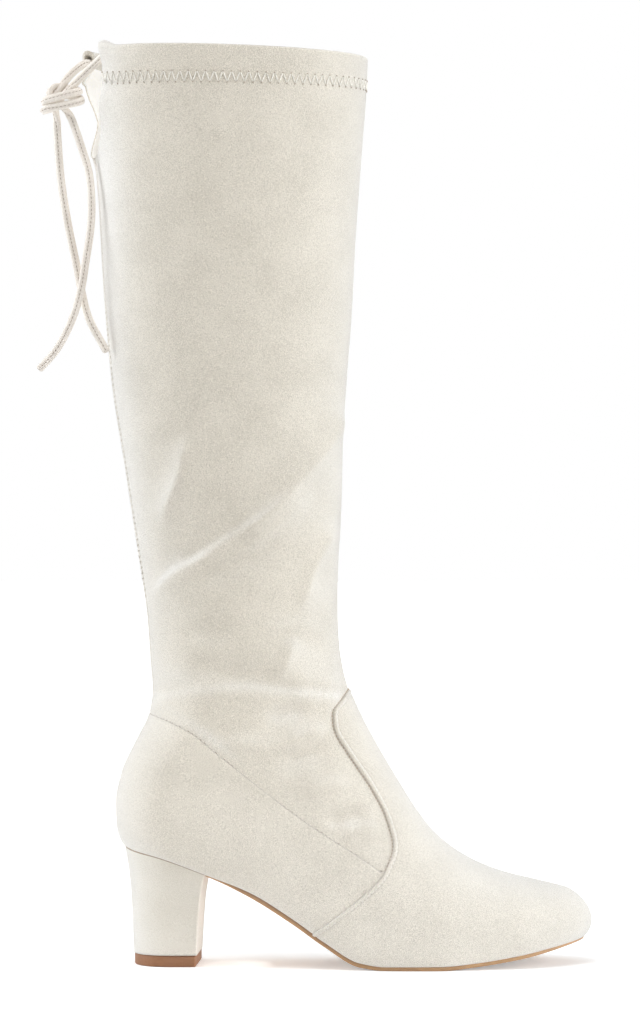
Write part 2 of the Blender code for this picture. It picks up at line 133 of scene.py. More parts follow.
class Heel(NamedTuple):
    """Heel outline at a share of its height."""

    share: float
    back: float
    breast: float
    half: float
    round: float


class Crease(NamedTuple):
    """Fold along points x, z of the side view: a round ridge, a round trough where its height is negative,
    or a step that is high on the right of its direction."""

    side: Side
    form: Form
    height: float
    width: float
    points: Points


class PaintedHighlight(NamedTuple):
    """Painted highlight: a paler patch of pile where light falls on a fold, at middle x, z, with half sizes,
    lean in degrees and strength.
    """

    side: Side
    x: float
    z: float
    along: float
    across: float
    lean: float
    strength: float


FOOT = (
    Foot(241.4, 13.8, 232.6, 38.2, 27.0, 27.5, 9.0, 0.45),
    Foot(224.0, 10.2, 218.5, 41.6, 31.0, 32.5, 7.8, 0.42),
    Foot(204.0, 6.5, 203.0, 45.4, 36.0, 38.0, 6.0, 0.38),
    Foot(185.0, 4.0, 189.5, 50.4, 40.0, 42.0, 4.0, 0.34),
    Foot(167.0, 2.6, 178.2, 56.4, 42.0, 43.5, 1.5, 0.32),
    Foot(140.0, 2.6, 165.2, 66.6, 39.0, 41.5, -1.2, 0.32),
    Foot(126.0, 4.4, 155.2, 79.0, 34.0, 38.5, -2.5, 0.34),
    Foot(108.0, 14.8, 145.7, 94.0, 28.5, 36.0, -3.0, 0.38),
    Foot(90.0, 27.2, 136.7, 109.0, 25.5, 34.8, -2.5, 0.40),
    Foot(70.0, 39.3, 128.9, 123.0, 25.0, 34.0, -1.5, 0.42),
    Foot(46.0, 48.9, 122.5, 136.6, 27.0, 34.0, -0.5, 0.42),
    Foot(24.0, 57.0, 118.2, 150.0, 27.5, 34.3, 0.0, 0.42),
    Foot(3.8, 62.8, 116.0, 162.0, 27.0, 34.8, 0.0, 0.42),
)
SHAFT = (
    Shaft(0.6, 73.0, 115.4, 168.5, 28.6, 34.8, 25.0, 0.5, 0.42),
    Shaft(0.2, 84.5, 115.0, 176.0, 30.0, 34.8, 27.0, 1.0, 0.42),
    Shaft(3.4, 100.0, 114.8, 184.0, 31.2, 34.8, 30.0, 2.0, 0.42),
    Shaft(10.6, 115.5, 114.8, 193.0, 32.6, 35.0, 34.0, 3.5, 0.42),
    Shaft(17.2, 129.5, 115.0, 202.5, 34.0, 35.5, 38.0, 5.0, 0.43),
    Shaft(18.7, 142.0, 115.3, 212.0, 35.2, 36.0, 41.0, 6.5, 0.43),
    Shaft(17.6, 156.0, 116.2, 224.0, 36.5, 36.8, 43.0, 8.0, 0.44),
    Shaft(15.6, 182.0, 117.0, 245.0, 38.5, 38.5, 46.0, 9.5, 0.45),
    Shaft(10.5, 216.0, 117.6, 271.0, 40.5, 40.5, 49.0, 10.5, 0.45),
    Shaft(4.0, 258.0, 119.6, 304.0, 43.0, 43.0, 53.0, 11.0, 0.46),
    Shaft(-2.8, 302.0, 122.2, 338.0, 45.0, 45.0, 57.0, 10.5, 0.46),
    Shaft(-7.0, 350.0, 124.0, 374.0, 46.5, 46.5, 60.0, 9.5, 0.46),
    Shaft(-9.4, 392.0, 126.2, 405.0, 47.5, 47.5, 62.0, 8.5, 0.46),
    Shaft(-11.2, 418.0, 127.6, 424.0, 48.0, 48.0, 64.0, 8.0, 0.46),
    Shaft(-12.0, 456.0, 129.8, 452.0, 48.5, 48.5, 65.0, 8.0, 0.46),
    Shaft(-12.4, 475.0, 130.6, 470.6, 48.5, 48.5, 66.0, 8.0, 0.46),
)
HEEL_ROW = len(FOOT) - 1
TOP_ROW = len(FOOT) + len(SHAFT) - 1
NOTCH_ROW = TOP_ROW - 2
HEM_ROW = TOP_ROW - 1
TIP = FOOT[0]
HEEL_BACK = FOOT[-1]

VAMP_SEAM = (
    (123.0, 146.0), (117.0, 138.2), (111.8, 130.5), (112.6, 122.9), (120.9, 108.4), (131.1, 93.2),
    (139.6, 76.5), (142.9, 63.0), (138.6, 50.2), (119.1, 31.4), (106.0, 21.6), (98.0, 16.0),
)
COUNTER_SEAM = (
    (-6.0, 133.0), (17.8, 129.9), (36.1, 123.4), (58.0, 106.7), (94.0, 78.9), (128.1, 56.6),
    (137.0, 50.4),
)

LATERAL, MEDIAL = Side.LATERAL, Side.MEDIAL
ROUND, STEP = Form.ROUND, Form.STEP
CREASES = (
    Crease(LATERAL, STEP, 1.7, 9.0, ((17, 191), (25, 200.5), (33, 206.5), (44, 211.5), (54, 216))),
    Crease(LATERAL, STEP, 1.5, 11.0,
           ((34, 206), (46, 214), (60, 223), (72, 230.5), (84.3, 240.6), (94, 251))),
    Crease(LATERAL, ROUND, 0.9, 4.0, ((48, 206), (62, 213), (78, 223), (92, 236), (102, 247))),
    Crease(LATERAL, ROUND, 2.9, 7.0,
           ((62, 222), (73, 230), (85.5, 240.6), (96.5, 252.9), (107, 265.2), (116, 279.6), (122, 292))),
    Crease(LATERAL, ROUND, -1.6, 8.0, ((38, 200), (56, 207), (76, 215), (90, 226))),
    Crease(LATERAL, ROUND, 2.2, 5.0, ((37, 276), (36.2, 266), (33.3, 251.4), (28.1, 239.1), (24, 225))),
    Crease(LATERAL, ROUND, 2.6, 6.0, ((116, 232), (106, 214), (100.4, 201.8), (97.5, 190), (94.5, 181))),
    Crease(LATERAL, ROUND, 2.9, 6.0, ((94, 172), (91, 166.5), (88.8, 160.5), (87, 154), (86, 145))),
    Crease(LATERAL, STEP, 0.9, 8.0, ((12, 137), (26, 140), (42, 143), (60, 144))),
    Crease(LATERAL, STEP, 1.6, 8.0,
           ((44, 143.5), (62, 144.6), (78, 143.8), (97, 141.8), (112, 139.5), (128, 136))),
    Crease(LATERAL, ROUND, 2.6, 9.0, ((84, 148), (98, 147), (110, 145), (121, 143))),
    Crease(LATERAL, ROUND, -1.8, 6.0, ((36, 160), (51, 154), (69, 151.5), (86, 152))),
    Crease(LATERAL, ROUND, 1.0, 4.0, ((70, 175), (86, 176), (98, 175), (112, 171))),
    Crease(LATERAL, ROUND, -0.9, 4.5, ((32, 175), (46, 172), (62, 169))),
    Crease(LATERAL, ROUND, 1.8, 4.5, ((52, 118), (64, 115.5), (80, 114.5), (98, 117))),
    Crease(LATERAL, ROUND, -1.7, 3.8, ((76, 129), (88, 132), (102, 134.5))),
    Crease(LATERAL, ROUND, 2.1, 4.8, ((84, 117), (98, 119.5), (112, 123))),
    Crease(LATERAL, ROUND, -2.0, 4.6, ((80, 106), (92, 109.5), (104, 113), (114, 118))),
    Crease(LATERAL, ROUND, 2.3, 5.5, ((92, 91), (104, 93), (114, 94), (124, 92))),
    Crease(LATERAL, ROUND, -2.0, 4.4, ((106, 74), (118, 78), (132, 82))),
    Crease(LATERAL, ROUND, 2.0, 4.6, ((114, 68), (126, 71), (137, 74.5))),
    Crease(LATERAL, ROUND, -1.0, 3.0, ((122, 62), (132, 65), (140, 68.5))),
    Crease(MEDIAL, STEP, 1.6, 11.0, ((22, 180), (44, 198), (70, 212), (94, 232), (116, 254))),
    Crease(MEDIAL, ROUND, -1.8, 8.0, ((36, 178), (64, 194), (90, 213), (114, 234))),
    Crease(MEDIAL, STEP, 1.4, 9.0, ((20, 152), (52, 150), (84, 146), (112, 150))),
    Crease(MEDIAL, ROUND, 1.8, 5.5, ((40, 138), (66, 136), (92, 139), (114, 144))),
    Crease(MEDIAL, ROUND, 1.8, 6.0, ((88, 168), (102, 178), (116, 196))),
    Crease(MEDIAL, ROUND, -1.2, 6.0, ((76, 122), (94, 113), (112, 108))),
    Crease(MEDIAL, ROUND, 1.2, 5.0, ((100, 100), (116, 92), (130, 84))),
)
# Painted highlights: paler patches of pile where light falls on the folds, and on the back edge where the
# cords' shadow falls.
PAINTED_HIGHLIGHTS = (
    PaintedHighlight(LATERAL, -8.0, 415.0, 110.0, 13.0, 92.0, 0.8),
    PaintedHighlight(LATERAL, 8.0, 260.0, 70.0, 8.0, 97.0, 0.25),
    PaintedHighlight(LATERAL, 27.0, 246.0, 15.0, 6.5, 70.0, 0.18),
    PaintedHighlight(LATERAL, 30.0, 207.0, 11.0, 5.0, 42.0, 0.27),
    PaintedHighlight(LATERAL, 103.0, 246.0, 28.0, 10.0, 52.0, 0.16),
    PaintedHighlight(LATERAL, 106.0, 192.0, 16.0, 6.0, 70.0, 0.14),
    PaintedHighlight(LATERAL, 103.0, 158.0, 14.0, 9.5, 0.0, 0.14),
    PaintedHighlight(LATERAL, 34.0, 148.5, 13.0, 6.0, -15.0, 0.24),
    PaintedHighlight(LATERAL, 48.0, 119.5, 17.0, 2.6, -36.0, 0.5),
    PaintedHighlight(LATERAL, 102.0, 141.0, 20.0, 3.0, -5.0, 0.36),
    PaintedHighlight(LATERAL, 92.0, 128.0, 13.0, 6.0, -10.0, 0.21),
    PaintedHighlight(LATERAL, 94.0, 101.0, 14.0, 5.0, 20.0, 0.15),
    PaintedHighlight(LATERAL, 122.0, 76.0, 11.0, 4.0, 15.0, 0.15),
    PaintedHighlight(MEDIAL, 98.0, 156.0, 13.0, 8.0, 0.0, 0.24),
    PaintedHighlight(MEDIAL, 60.0, 214.0, 24.0, 6.0, 35.0, 0.21),
    PaintedHighlight(MEDIAL, 36.0, 150.0, 14.0, 6.0, 0.0, 0.21),
)


def eased(table: Array, place: Array) -> Array:
    """Read a table between its rows, without overshoot.

    Args:
        table: rows by columns.
        place: places counted in rows.

    Returns:
        One row of values for each place.
    """
    steps = np.diff(table, axis=0)
    product = steps[:-1] * steps[1:]
    same = product > 0.0
    inner = np.where(same, 2.0 * product / np.where(same, steps[:-1] + steps[1:], 1.0), 0.0)
    tangents = np.vstack([steps[:1], inner, steps[-1:]])
    row = np.clip(place.astype(int), 0, len(table) - 2)
    u = (place - row)[:, None]
    rise = steps[row] * u * u * (3.0 - 2.0 * u)
    return table[row] + rise + tangents[row] * u * (1.0 - u) ** 2 + tangents[row + 1] * u * u * (u - 1.0)


def rounding(distance: Array, radius: Array | float) -> Array:
    """Share of a width left at a distance from a rounded end."""
    inside = 1.0 - np.clip(distance / radius, 0.0, 1.0)
    return np.sqrt(1.0 - inside * inside)


def smooth(value: Array) -> Array:
    """Smooth step from 0 to 1."""
    share = np.clip(value, 0.0, 1.0)
    return share * share * (3.0 - 2.0 * share)


def unit(vectors: Array) -> Array:
    """Vectors scaled to length one."""
    return vectors / np.maximum(np.linalg.norm(vectors, axis=-1, keepdims=True), 1e-9)


def smooth_path(points: Array, spacing: float) -> Array:
    """Even points along a smooth curve through given ones.

    Args:
        points: the curve's own points.
        spacing: distance between the points that come back.

    Returns:
        Points along the curve, its two ends among them.
    """
    ends = np.vstack([2.0 * points[0] - points[1], points, 2.0 * points[-1] - points[-2]])
    knots = np.concatenate([[0.0], np.cumsum(np.sqrt(np.linalg.norm(np.diff(ends, axis=0), axis=1)))])
    dense = []
    for k in range(1, len(ends) - 2):
        t = np.linspace(knots[k], knots[k + 1], CURVE_STEPS, endpoint=False)[:, None]
        t0, t1, t2, t3 = knots[k - 1 : k + 3]
        p0, p1, p2, p3 = ends[k - 1 : k + 3]
        a1 = p0 + (p1 - p0) * (t - t0) / (t1 - t0)
        a2 = p1 + (p2 - p1) * (t - t1) / (t2 - t1)
        a3 = p2 + (p3 - p2) * (t - t2) / (t3 - t2)
        b1 = a1 + (a2 - a1) * (t - t0) / (t2 - t0)
        b2 = a2 + (a3 - a2) * (t - t1) / (t3 - t1)
        dense.append(b1 + (b2 - b1) * (t - t1) / (t2 - t1))
    return evenly(np.vstack([*dense, points[-1:]]), spacing)


def lengths_along(line: Array) -> Array:
    """Length from a line's start to each of its points."""
    return np.concatenate([[0.0], np.cumsum(np.linalg.norm(np.diff(line, axis=0), axis=1))])


def read_along(line: Array, arc: Array, at: Array) -> Array:
    """Values of a line's columns at lengths along it."""
    return np.stack([np.interp(at, arc, column) for column in line.T], axis=-1)


def evenly(line: Array, spacing: float) -> Array:
    """Points at an even spacing along a line."""
    arc = lengths_along(line)
    count = max(2, int(round(arc[-1] / spacing)) + 1)
    return read_along(line, arc, np.linspace(0.0, arc[-1], count))


def welded(points: Array, step: float = 0.002) -> tuple[Array, Array]:
    """Merge points that coincide.

    Args:
        points: points in millimetres.
        step: distance under which two points are one.

    Returns:
        The merged points, and for each old point the index of its merged one.
    """
    keys = np.round(points / step).astype(np.int64)
    _, first, index = np.unique(keys, axis=0, return_index=True, return_inverse=True)
    return points[first], index.reshape(-1)


def quads(grid: Array) -> Array:
    """Four-cornered faces of a grid of point indices."""
    corners = [grid[:-1, :-1], grid[:-1, 1:], grid[1:, 1:], grid[1:, :-1]]
    return np.stack([corner.reshape(-1) for corner in corners], axis=1)


def halves(faces: Array) -> Array:
    """Triangles of four-cornered faces, without those that have no area."""
    triangles = np.vstack([faces[:, [0, 1, 2]], faces[:, [0, 2, 3]]])
    a, b, c = triangles.T
    return triangles[(a != b) & (b != c) & (c != a)]


def corner_normals(points: Array, triangles: Array) -> Array:
    """Normals at the points of a triangle mesh."""
    a, b, c = (points[triangles[:, k]] for k in range(3))
    cross = np.cross(b - a, c - a)
    total = np.zeros_like(points)
    for k in range(3):
        np.add.at(total, triangles[:, k], cross)
    return unit(total)


def row_frame(points: Array) -> Array:
    """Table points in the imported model's frame, in metres."""
    return (points - np.array([ORIGIN_X, 0.0, 0.0])) * MM


class SeamLine:
    """Curve in the side view, with distances to it."""

    STEPS = 12

    def __init__(self, points: Points, inside: float) -> None:
        """Draw the curve.

        Args:
            points: the curve's own points, x and z.
            inside: 1 or -1, the side that counts as inside.
        """
        table = np.array(points, float)
        places = np.linspace(0.0, len(table) - 1.0, self.STEPS * (len(table) - 1) + 1)
        self.line = eased(table, places)
        self.inside = inside
        self.arc = lengths_along(self.line)

    def measure(self, points: Array) -> tuple[Array, Array]:
        """Signed distance to the curve, positive inside, and place along it.

        Args:
            points: points x, y, z.

        Returns:
            Distances, and lengths along the curve.
        """
        spot = points[:, [0, 2]]
        best = np.full(len(spot), np.inf)
        signed = np.zeros(len(spot))
        along = np.zeros(len(spot))
        for k in range(len(self.line) - 1):
            start = self.line[k]
            step = self.line[k + 1] - start
            length = np.linalg.norm(step)
            from_start = spot - start
            share = np.clip(from_start @ step / length**2, 0.0, 1.0)
            distance = np.linalg.norm(from_start - share[:, None] * step, axis=1)
            nearer = distance < best
            side = np.sign(step[0] * from_start[:, 1] - step[1] * from_start[:, 0])
            signed[nearer] = (distance * np.where(side == 0.0, 1.0, side) * self.inside)[nearer]
            along[nearer] = (self.arc[k] + share * length)[nearer]
            best = np.minimum(best, distance)
        return signed, along


@dataclass
class Last:
    """Outer form of the upper, from its section tables."""

    toe_round: float = 34.0
    heel_round: float = 24.0
    toe_bulge: float = 8.4
    toe_bulge_reach: float = 66.0
    toe_bulge_fullness: float = 0.75
    back_fullness: float = 2.2
    front_fullness: float = 2.1
    heel_back_lean: float = 0.35
    notch_half_angle: float = math.radians(15.0)
    notch_round: float = 22.0
    notch_push: float = 0.2
    flare: float = 6.0
    flare_angle: float = math.radians(24.0)
    flare_start_z: float = 432.0
    flare_rise: float = 36.0
    mouth_angle: float = math.radians(13.0)
    mouth_bulge: float = 1.4
    nub_rise: float = 2.4
    nub_angle: float = math.radians(14.0)
    back_line_steps: int = 20
    sole_steps: int = 4001
    table: Array = field(init=False)
    back_line: Array = field(init=False)

    def __post_init__(self) -> None:
        """Join the foot's and the shaft's tables and trace the back line."""
        rows = [(f.sole_x, f.sole_z, f.ridge_x, f.ridge_z, f.feather, f.half, self.heel_round, f.swing, 0.0,
                 f.peak) for f in FOOT]
        rows += [(s.back_x, s.back_z, s.front_x, s.front_z, s.base, s.half, s.round, 0.0, s.seam, s.peak)
                 for s in SHAFT]
        self.table = np.array(rows)
        steps = self.back_line_steps * len(SHAFT) + 1
        self.back_line = eased(self.table[:, :2], np.linspace(HEEL_ROW, TOP_ROW, steps))

    def at(self, place: Array) -> Array:
        """Sections at places counted in table rows."""
        return eased(self.table, place)

    def back_x(self, z: Array) -> Array:
        """Back line of the boot at a height, carried on below the heel seat."""
        above = np.interp(z, self.back_line[:, 1], self.back_line[:, 0])
        below = HEEL_BACK.sole_x + (HEEL_BACK.sole_z - z) * self.heel_back_lean
        return np.where(z <= HEEL_BACK.sole_z, below, above)

    def notch_angle(self, place: Array) -> Array:
        """Half opening of the collar's notch at places along the shaft."""
        rise = self.at(place)[:, Column.BACK_Z] - self.table[NOTCH_ROW, Column.BACK_Z]
        return np.where(place > NOTCH_ROW, self.notch_half_angle * rounding(rise, self.notch_round), 0.0)

    def column_angle(self, place: Array, turn: Array) -> Array:
        """Angle from the back seam, pushed aside near the notch."""
        lateral = np.maximum(0.0, 1.0 - turn / self.notch_push) ** 2
        medial = np.maximum(0.0, 1.0 - (1.0 - turn) / self.notch_push) ** 2
        return FULL_TURN * turn + self.notch_angle(place) * (lateral - medial)

    def edge_angles(self, place: Array, turn: Array) -> tuple[Array, Array]:
        """Angles from the notch's lateral and medial edges."""
        opening = self.notch_angle(place)
        angle = self.column_angle(place, turn)
        return angle - opening, FULL_TURN - opening - angle

    def mouth_share(self, place: Array, turn: Array) -> Array:
        """How much of the tunnel's swell there is near the notch's edges."""
        from_edge = np.minimum(*self.edge_angles(place, turn))
        return np.where(place > HEM_ROW, smooth(1.0 - from_edge / (2.0 * self.mouth_angle)), 0.0)

    def skin(self, place: Array, turn: Array) -> Array:
        """Points of the upper's outer face.

        Args:
            place: places counted in table rows, from the toe to the collar.
            turn: 0 to 1 from the back seam round the lateral side.

        Returns:
            Points x, y, z.
        """
        row = self.at(place).T
        back, front = row[Column.BACK_X], row[Column.FRONT_X]
        low, high = row[Column.BACK_Z], row[Column.FRONT_Z]
        base, half, peak = row[Column.BASE], row[Column.HALF], row[Column.PEAK]
        angle = np.radians(row[Column.SEAM]) + self.column_angle(place, turn)
        share = (1.0 - np.cos(angle)) / 2.0
        x = back + share * (front - back)
        z = low + share * (high - low)
        behind = np.clip(1.0 - share / peak, 0.0, 1.0)
        rise = (1.0 - behind**self.back_fullness) ** (1.0 / self.back_fullness)
        back_width = (base + (half - base) * rise) * rounding(x - self.back_x(z), row[Column.ROUND])
        ahead = np.clip((share - peak) / (1.0 - peak), 0.0, 1.0)
        front_width = half * np.sqrt(np.maximum(0.0, 1.0 - ahead**self.front_fullness))
        width = np.where(share < peak, back_width, front_width)
        foot = place < HEEL_ROW
        to_tip = TIP.sole_x - back
        width = np.where(foot, width * rounding(to_tip, self.toe_round), width)
        reach = np.where(foot, np.maximum(0.0, 1.0 - to_tip / self.toe_bulge_reach), 0.0)
        x = x + self.toe_bulge * reach**2 * (4.0 * share * (1.0 - share)) ** self.toe_bulge_fullness
        x = x - self.lean(place, turn, low)
        from_lateral = self.edge_angles(place, turn)[0]
        nub = np.maximum(0.0, place - HEM_ROW) * smooth(1.0 - from_lateral / self.nub_angle)
        y = row[Column.SWING] - np.where(np.sin(angle) >= 0.0, width, -width)
        return np.stack([x, y, z + self.nub_rise * nub], axis=1)

    def lean(self, place: Array, turn: Array, height: Array) -> Array:
        """Backward lean of the notch's medial flap and the swell of both tunnel mouths."""
        from_medial = self.edge_angles(place, turn)[1]
        lean = self.flare * smooth((height - self.flare_start_z) / self.flare_rise)
        lean = lean * np.exp(-((from_medial / self.flare_angle) ** 2))
        return np.where(place > NOTCH_ROW, lean, 0.0) + self.mouth_bulge * self.mouth_share(place, turn)

    def sole_place(self, x: Array) -> Array:
        """Places where the foot's sections meet the sole at x."""
        places = np.linspace(0.0, HEEL_ROW, self.sole_steps)
        line = self.at(places)[:, Column.BACK_X]
        return np.interp(-x, -line, places)

    def sole_half(self, place: Array, inset: float) -> Array:
        """Half width of the sole's outline, drawn in by an inset."""
        row = self.at(place).T
        toe = rounding(TIP.sole_x - inset - row[Column.BACK_X], self.toe_round - inset)
        from_back = row[Column.BACK_X] - self.back_x(row[Column.BACK_Z]) - inset
        return (row[Column.BASE] - inset) * toe * rounding(from_back, self.heel_round - inset)


@dataclass
class Sheet:
    """Triangle sheet over the skin, with values at its points."""

    points: Array
    normals: Array
    faces: Array
    fields: dict[str, Array]

    SNAP = 0.04
    SLACK = 1e-6

    def split(self, name: str, level: float) -> None:
        """Cut the triangles along a line where a field has a level.

        Args:
            name: the field.
            level: its value along the cut.
        """
        value = self.fields[name] - level
        value[np.abs(value) < self.SNAP] = 0.0
        self.fields[name] = value + level
        sign = np.sign(value)
        signs = sign[self.faces]
        crossing = (signs.min(axis=1) < 0) & (signs.max(axis=1) > 0)
        kept = [self.faces[~crossing]]
        cut, cut_signs = self.faces[crossing], signs[crossing]
        on_line = (cut_signs == 0).any(axis=1)
        first = np.where(
            on_line, np.argmax(cut_signs == 0, axis=1),
            np.argmax(cut_signs == -cut_signs.sum(axis=1, keepdims=True), axis=1),
        )
        rolled = np.stack([cut[np.arange(len(cut)), (first + k) % 3] for k in range(3)], axis=1)
        one, two = rolled[on_line], rolled[~on_line]
        edges = np.vstack([one[:, [1, 2]], two[:, [0, 1]], two[:, [0, 2]]])
        new = self.cut_edges(edges, value)
        middle, left, right = np.split(new, [len(one), len(one) + len(two)])
        parts = [(one[:, 0], one[:, 1], middle), (one[:, 0], middle, one[:, 2]), (two[:, 0], left, right),
                 (left, two[:, 1], two[:, 2]), (left, two[:, 2], right)]
        kept += [np.stack(part, axis=1) for part in parts]
        self.faces = np.vstack(kept)

    def cut_edges(self, edges: Array, value: Array) -> Array:
        """Add a point on each edge where the value is zero.

        Args:
            edges: pairs of points.
            value: the value at each point.

        Returns:
            The new point of each edge.
        """
        pairs, index = np.unique(np.sort(edges, axis=1), axis=0, return_inverse=True)
        a, b = pairs.T
        share = value[a] / (value[a] - value[b])
        start = len(self.points)
        middle = self.points[a] + share[:, None] * (self.points[b] - self.points[a])
        self.points = np.vstack([self.points, middle])
        between = self.normals[a] + share[:, None] * (self.normals[b] - self.normals[a])
        self.normals = np.vstack([self.normals, unit(between)])
        for key, column in self.fields.items():
            self.fields[key] = np.concatenate([column, column[a] + share * (column[b] - column[a])])
        return start + index.reshape(-1)

    def keep(self, inside: Array) -> None:
        """Keep the triangles whose points are all inside, and drop unused points."""
        faces = self.faces[inside[self.faces].all(axis=1)]
        used, index = np.unique(faces, return_inverse=True)
        self.faces = index.reshape(faces.shape)
        self.points, self.normals = self.points[used], self.normals[used]
        self.fields = {key: column[used] for key, column in self.fields.items()}


class Graph:
    """Short way to add and link shader nodes."""

    NOISE_SPAN = (0.3, 0.7)

    def __init__(self, tree: bpy.types.NodeTree) -> None:
        """Keep the tree that is being built."""
        self.tree = tree

    def add(self, kind: str, inputs: dict | None = None, **settings: object) -> bpy.types.Node:
        """Add a node.

        Args:
            kind: the node's type.
            inputs: values or sockets for its inputs, by name or number.
            settings: its own settings.

        Returns:
            The node.
        """
        node = self.tree.nodes.new(kind)
        for name, value in settings.items():
            setattr(node, name, value)
        for key, value in (inputs or {}).items():
            if isinstance(value, Socket):
                self.tree.links.new(value, node.inputs[key])
            else:
                node.inputs[key].default_value = value
        return node

    def noise(self, vector: Socket, scale: object, detail: float, rough: float) -> Socket:
        """Noise value, from 0 to 1, over the surface."""
        inputs = {"Vector": vector, "Scale": scale, "Detail": detail, "Roughness": rough}
        return self.add("ShaderNodeTexNoise", inputs).outputs[0]

    def math(self, operation: str, *values: object) -> Socket:
        """Arithmetic on values."""
        return self.add("ShaderNodeMath", dict(enumerate(values)), operation=operation).outputs[0]

    def mix(self, factor: object, first: object, second: object, blend: str = "MIX") -> Socket:
        """Mix of two colours."""
        inputs = {0: factor, 6: first, 7: second}
        return self.add("ShaderNodeMix", inputs, data_type="RGBA", blend_type=blend).outputs[2]

    def either(self, value: object, most: float) -> Socket:
        """Noise round a half, stretched to either side of zero."""
        return self.ramp(value, self.NOISE_SPAN, (-most, most))

    def ramp(self, value: object, span: tuple, ends: tuple) -> Socket:
        """Value carried from one span to another."""
        return self.add("ShaderNodeMapRange", dict(enumerate((value, *span, *ends)))).outputs[0]


def group(name: str, inputs: dict[str, str], outputs: dict[str, str]) -> tuple[Graph, dict, bpy.types.Node]:
    """Start a shader node group.

    Args:
        name: the group's name.
        inputs: socket types by input name.
        outputs: socket types by output name.

    Returns:
        The graph, its inputs by name and its output node.
    """
    tree = bpy.data.node_groups.new(name, "ShaderNodeTree")
    for direction, sockets in (("INPUT", inputs), ("OUTPUT", outputs)):
        for label, kind in sockets.items():
            tree.interface.new_socket(label, in_out=direction, socket_type=kind)
    graph = Graph(tree)
    entry = graph.add("NodeGroupInput")
    return graph, {label: entry.outputs[label] for label in inputs}, graph.add("NodeGroupOutput")


COLOUR, VALUE = "NodeSocketColor", "NodeSocketFloat"


class Effects:
    """Shader node groups that the finishes share."""

    BLOTCH_SCALE = 48.0
    PATCH_SCALE = 150.0
    COARSE_SHARE = 0.7
    BLOTCH_SPAN = 1.2
    PATCH_SPAN = 0.1
    COARSE_SPAN = 0.1
    FINE_SPAN = 0.9
    COARSE_HEIGHT = 0.6
    FINE_HEIGHT = 0.4
    DRAWN = (0.12, 1.0, 1.0)
    STREAK_SCALE = 900.0
    SPECK_SCALE = 1500.0
    CLOUD_SCALE = 70.0
    STREAK_SPAN = 0.5
    SPECK_SPAN = 0.3
    CLOUD_SPAN = 0.4
    SPECK_HEIGHT = 0.5
    GLOSS_SPAN = (0.42, 0.62)

    def __init__(self) -> None:
        """Build each group once."""
        self.nap = self.build_nap()
        self.scuff = self.build_scuff()

    def build_nap(self) -> bpy.types.NodeTree:
        """Napped pile: soft blotches and fine grain, darker in the seams and where shade is painted."""
        graph, given, out = group(
            "nap",
            {"Light": COLOUR, "Dark": COLOUR, "Seam Colour": COLOUR, "Grain Scale": VALUE, "Blotch": VALUE,
             "Grain": VALUE, "Seam": VALUE},
            {"Colour": COLOUR, "Height": VALUE},
        )
        spot = graph.add("ShaderNodeTexCoord").outputs["Object"]
        blotch = graph.noise(spot, self.BLOTCH_SCALE, 1.0, 0.5)
        patch = graph.noise(spot, self.PATCH_SCALE, 0.0, 0.5)
        coarse_scale = graph.math("MULTIPLY", given["Grain Scale"], self.COARSE_SHARE)
        coarse = graph.noise(spot, coarse_scale, 0.0, 0.5)
        fine = graph.noise(spot, given["Grain Scale"], 0.0, 0.5)
        soft = graph.math("ADD", graph.either(blotch, self.BLOTCH_SPAN), graph.either(patch, self.PATCH_SPAN))
        pile = graph.math("ADD", graph.either(coarse, self.COARSE_SPAN), graph.either(fine, self.FINE_SPAN))
        blotched = graph.math("MULTIPLY", soft, given["Blotch"])
        shade = graph.math("ADD", blotched, graph.math("MULTIPLY", pile, given["Grain"]))
        self.tone(graph, given, shade, out)
        height = graph.math("ADD", graph.math("MULTIPLY", coarse, self.COARSE_HEIGHT),
                            graph.math("MULTIPLY", fine, self.FINE_HEIGHT))
        graph.tree.links.new(height, out.inputs["Height"])
        return graph.tree

    def build_scuff(self) -> bpy.types.NodeTree:
        """Moulded or cut sole material: drawn-out streaks, specks and uneven gloss."""
        graph, given, out = group(
            "scuff",
            {"Light": COLOUR, "Dark": COLOUR, "Seam Colour": COLOUR, "Streak": VALUE, "Seam": VALUE},
            {"Colour": COLOUR, "Roughness": VALUE, "Height": VALUE},
        )
        spot = graph.add("ShaderNodeTexCoord").outputs["Object"]
        drawn = graph.add("ShaderNodeMapping", {"Vector": spot, "Scale": self.DRAWN}).outputs[0]
        streak = graph.noise(drawn, self.STREAK_SCALE, 3.0, 0.6)
        speck = graph.noise(spot, self.SPECK_SCALE, 2.0, 0.6)
        cloud = graph.noise(spot, self.CLOUD_SCALE, 3.0, 0.5)
        streaked = graph.either(streak, self.STREAK_SPAN)
        mixed = graph.math("ADD", streaked, graph.either(speck, self.SPECK_SPAN))
        mixed = graph.math("ADD", mixed, graph.either(cloud, self.CLOUD_SPAN))
        self.tone(graph, given, graph.math("MULTIPLY", mixed, given["Streak"]), out)
        graph.tree.links.new(graph.ramp(cloud, graph.NOISE_SPAN, self.GLOSS_SPAN), out.inputs["Roughness"])
        height = graph.math("ADD", streak, graph.math("MULTIPLY", speck, self.SPECK_HEIGHT))
        graph.tree.links.new(height, out.inputs["Height"])
        return graph.tree

    @staticmethod
    def tone(graph: Graph, given: dict, shade: Socket, out: bpy.types.Node) -> None:
        """Link a group's colour: dark to light by a shade round zero, with the seam's colour over it for seam
        lines and painted shade.
        """
        share = graph.add("ShaderNodeMath", {0: shade, 1: 0.5}, operation="ADD", use_clamp=True).outputs[0]
        mixed = graph.mix(share, given["Dark"], given["Light"])
        graph.tree.links.new(graph.mix(given["Seam"], mixed, given["Seam Colour"]), out.inputs["Colour"])


Colour = tuple[float, float, float]


def opaque(colour: Colour) -> tuple[float, ...]:
    """Colour as node sockets take it."""
    return (*colour, 1.0)


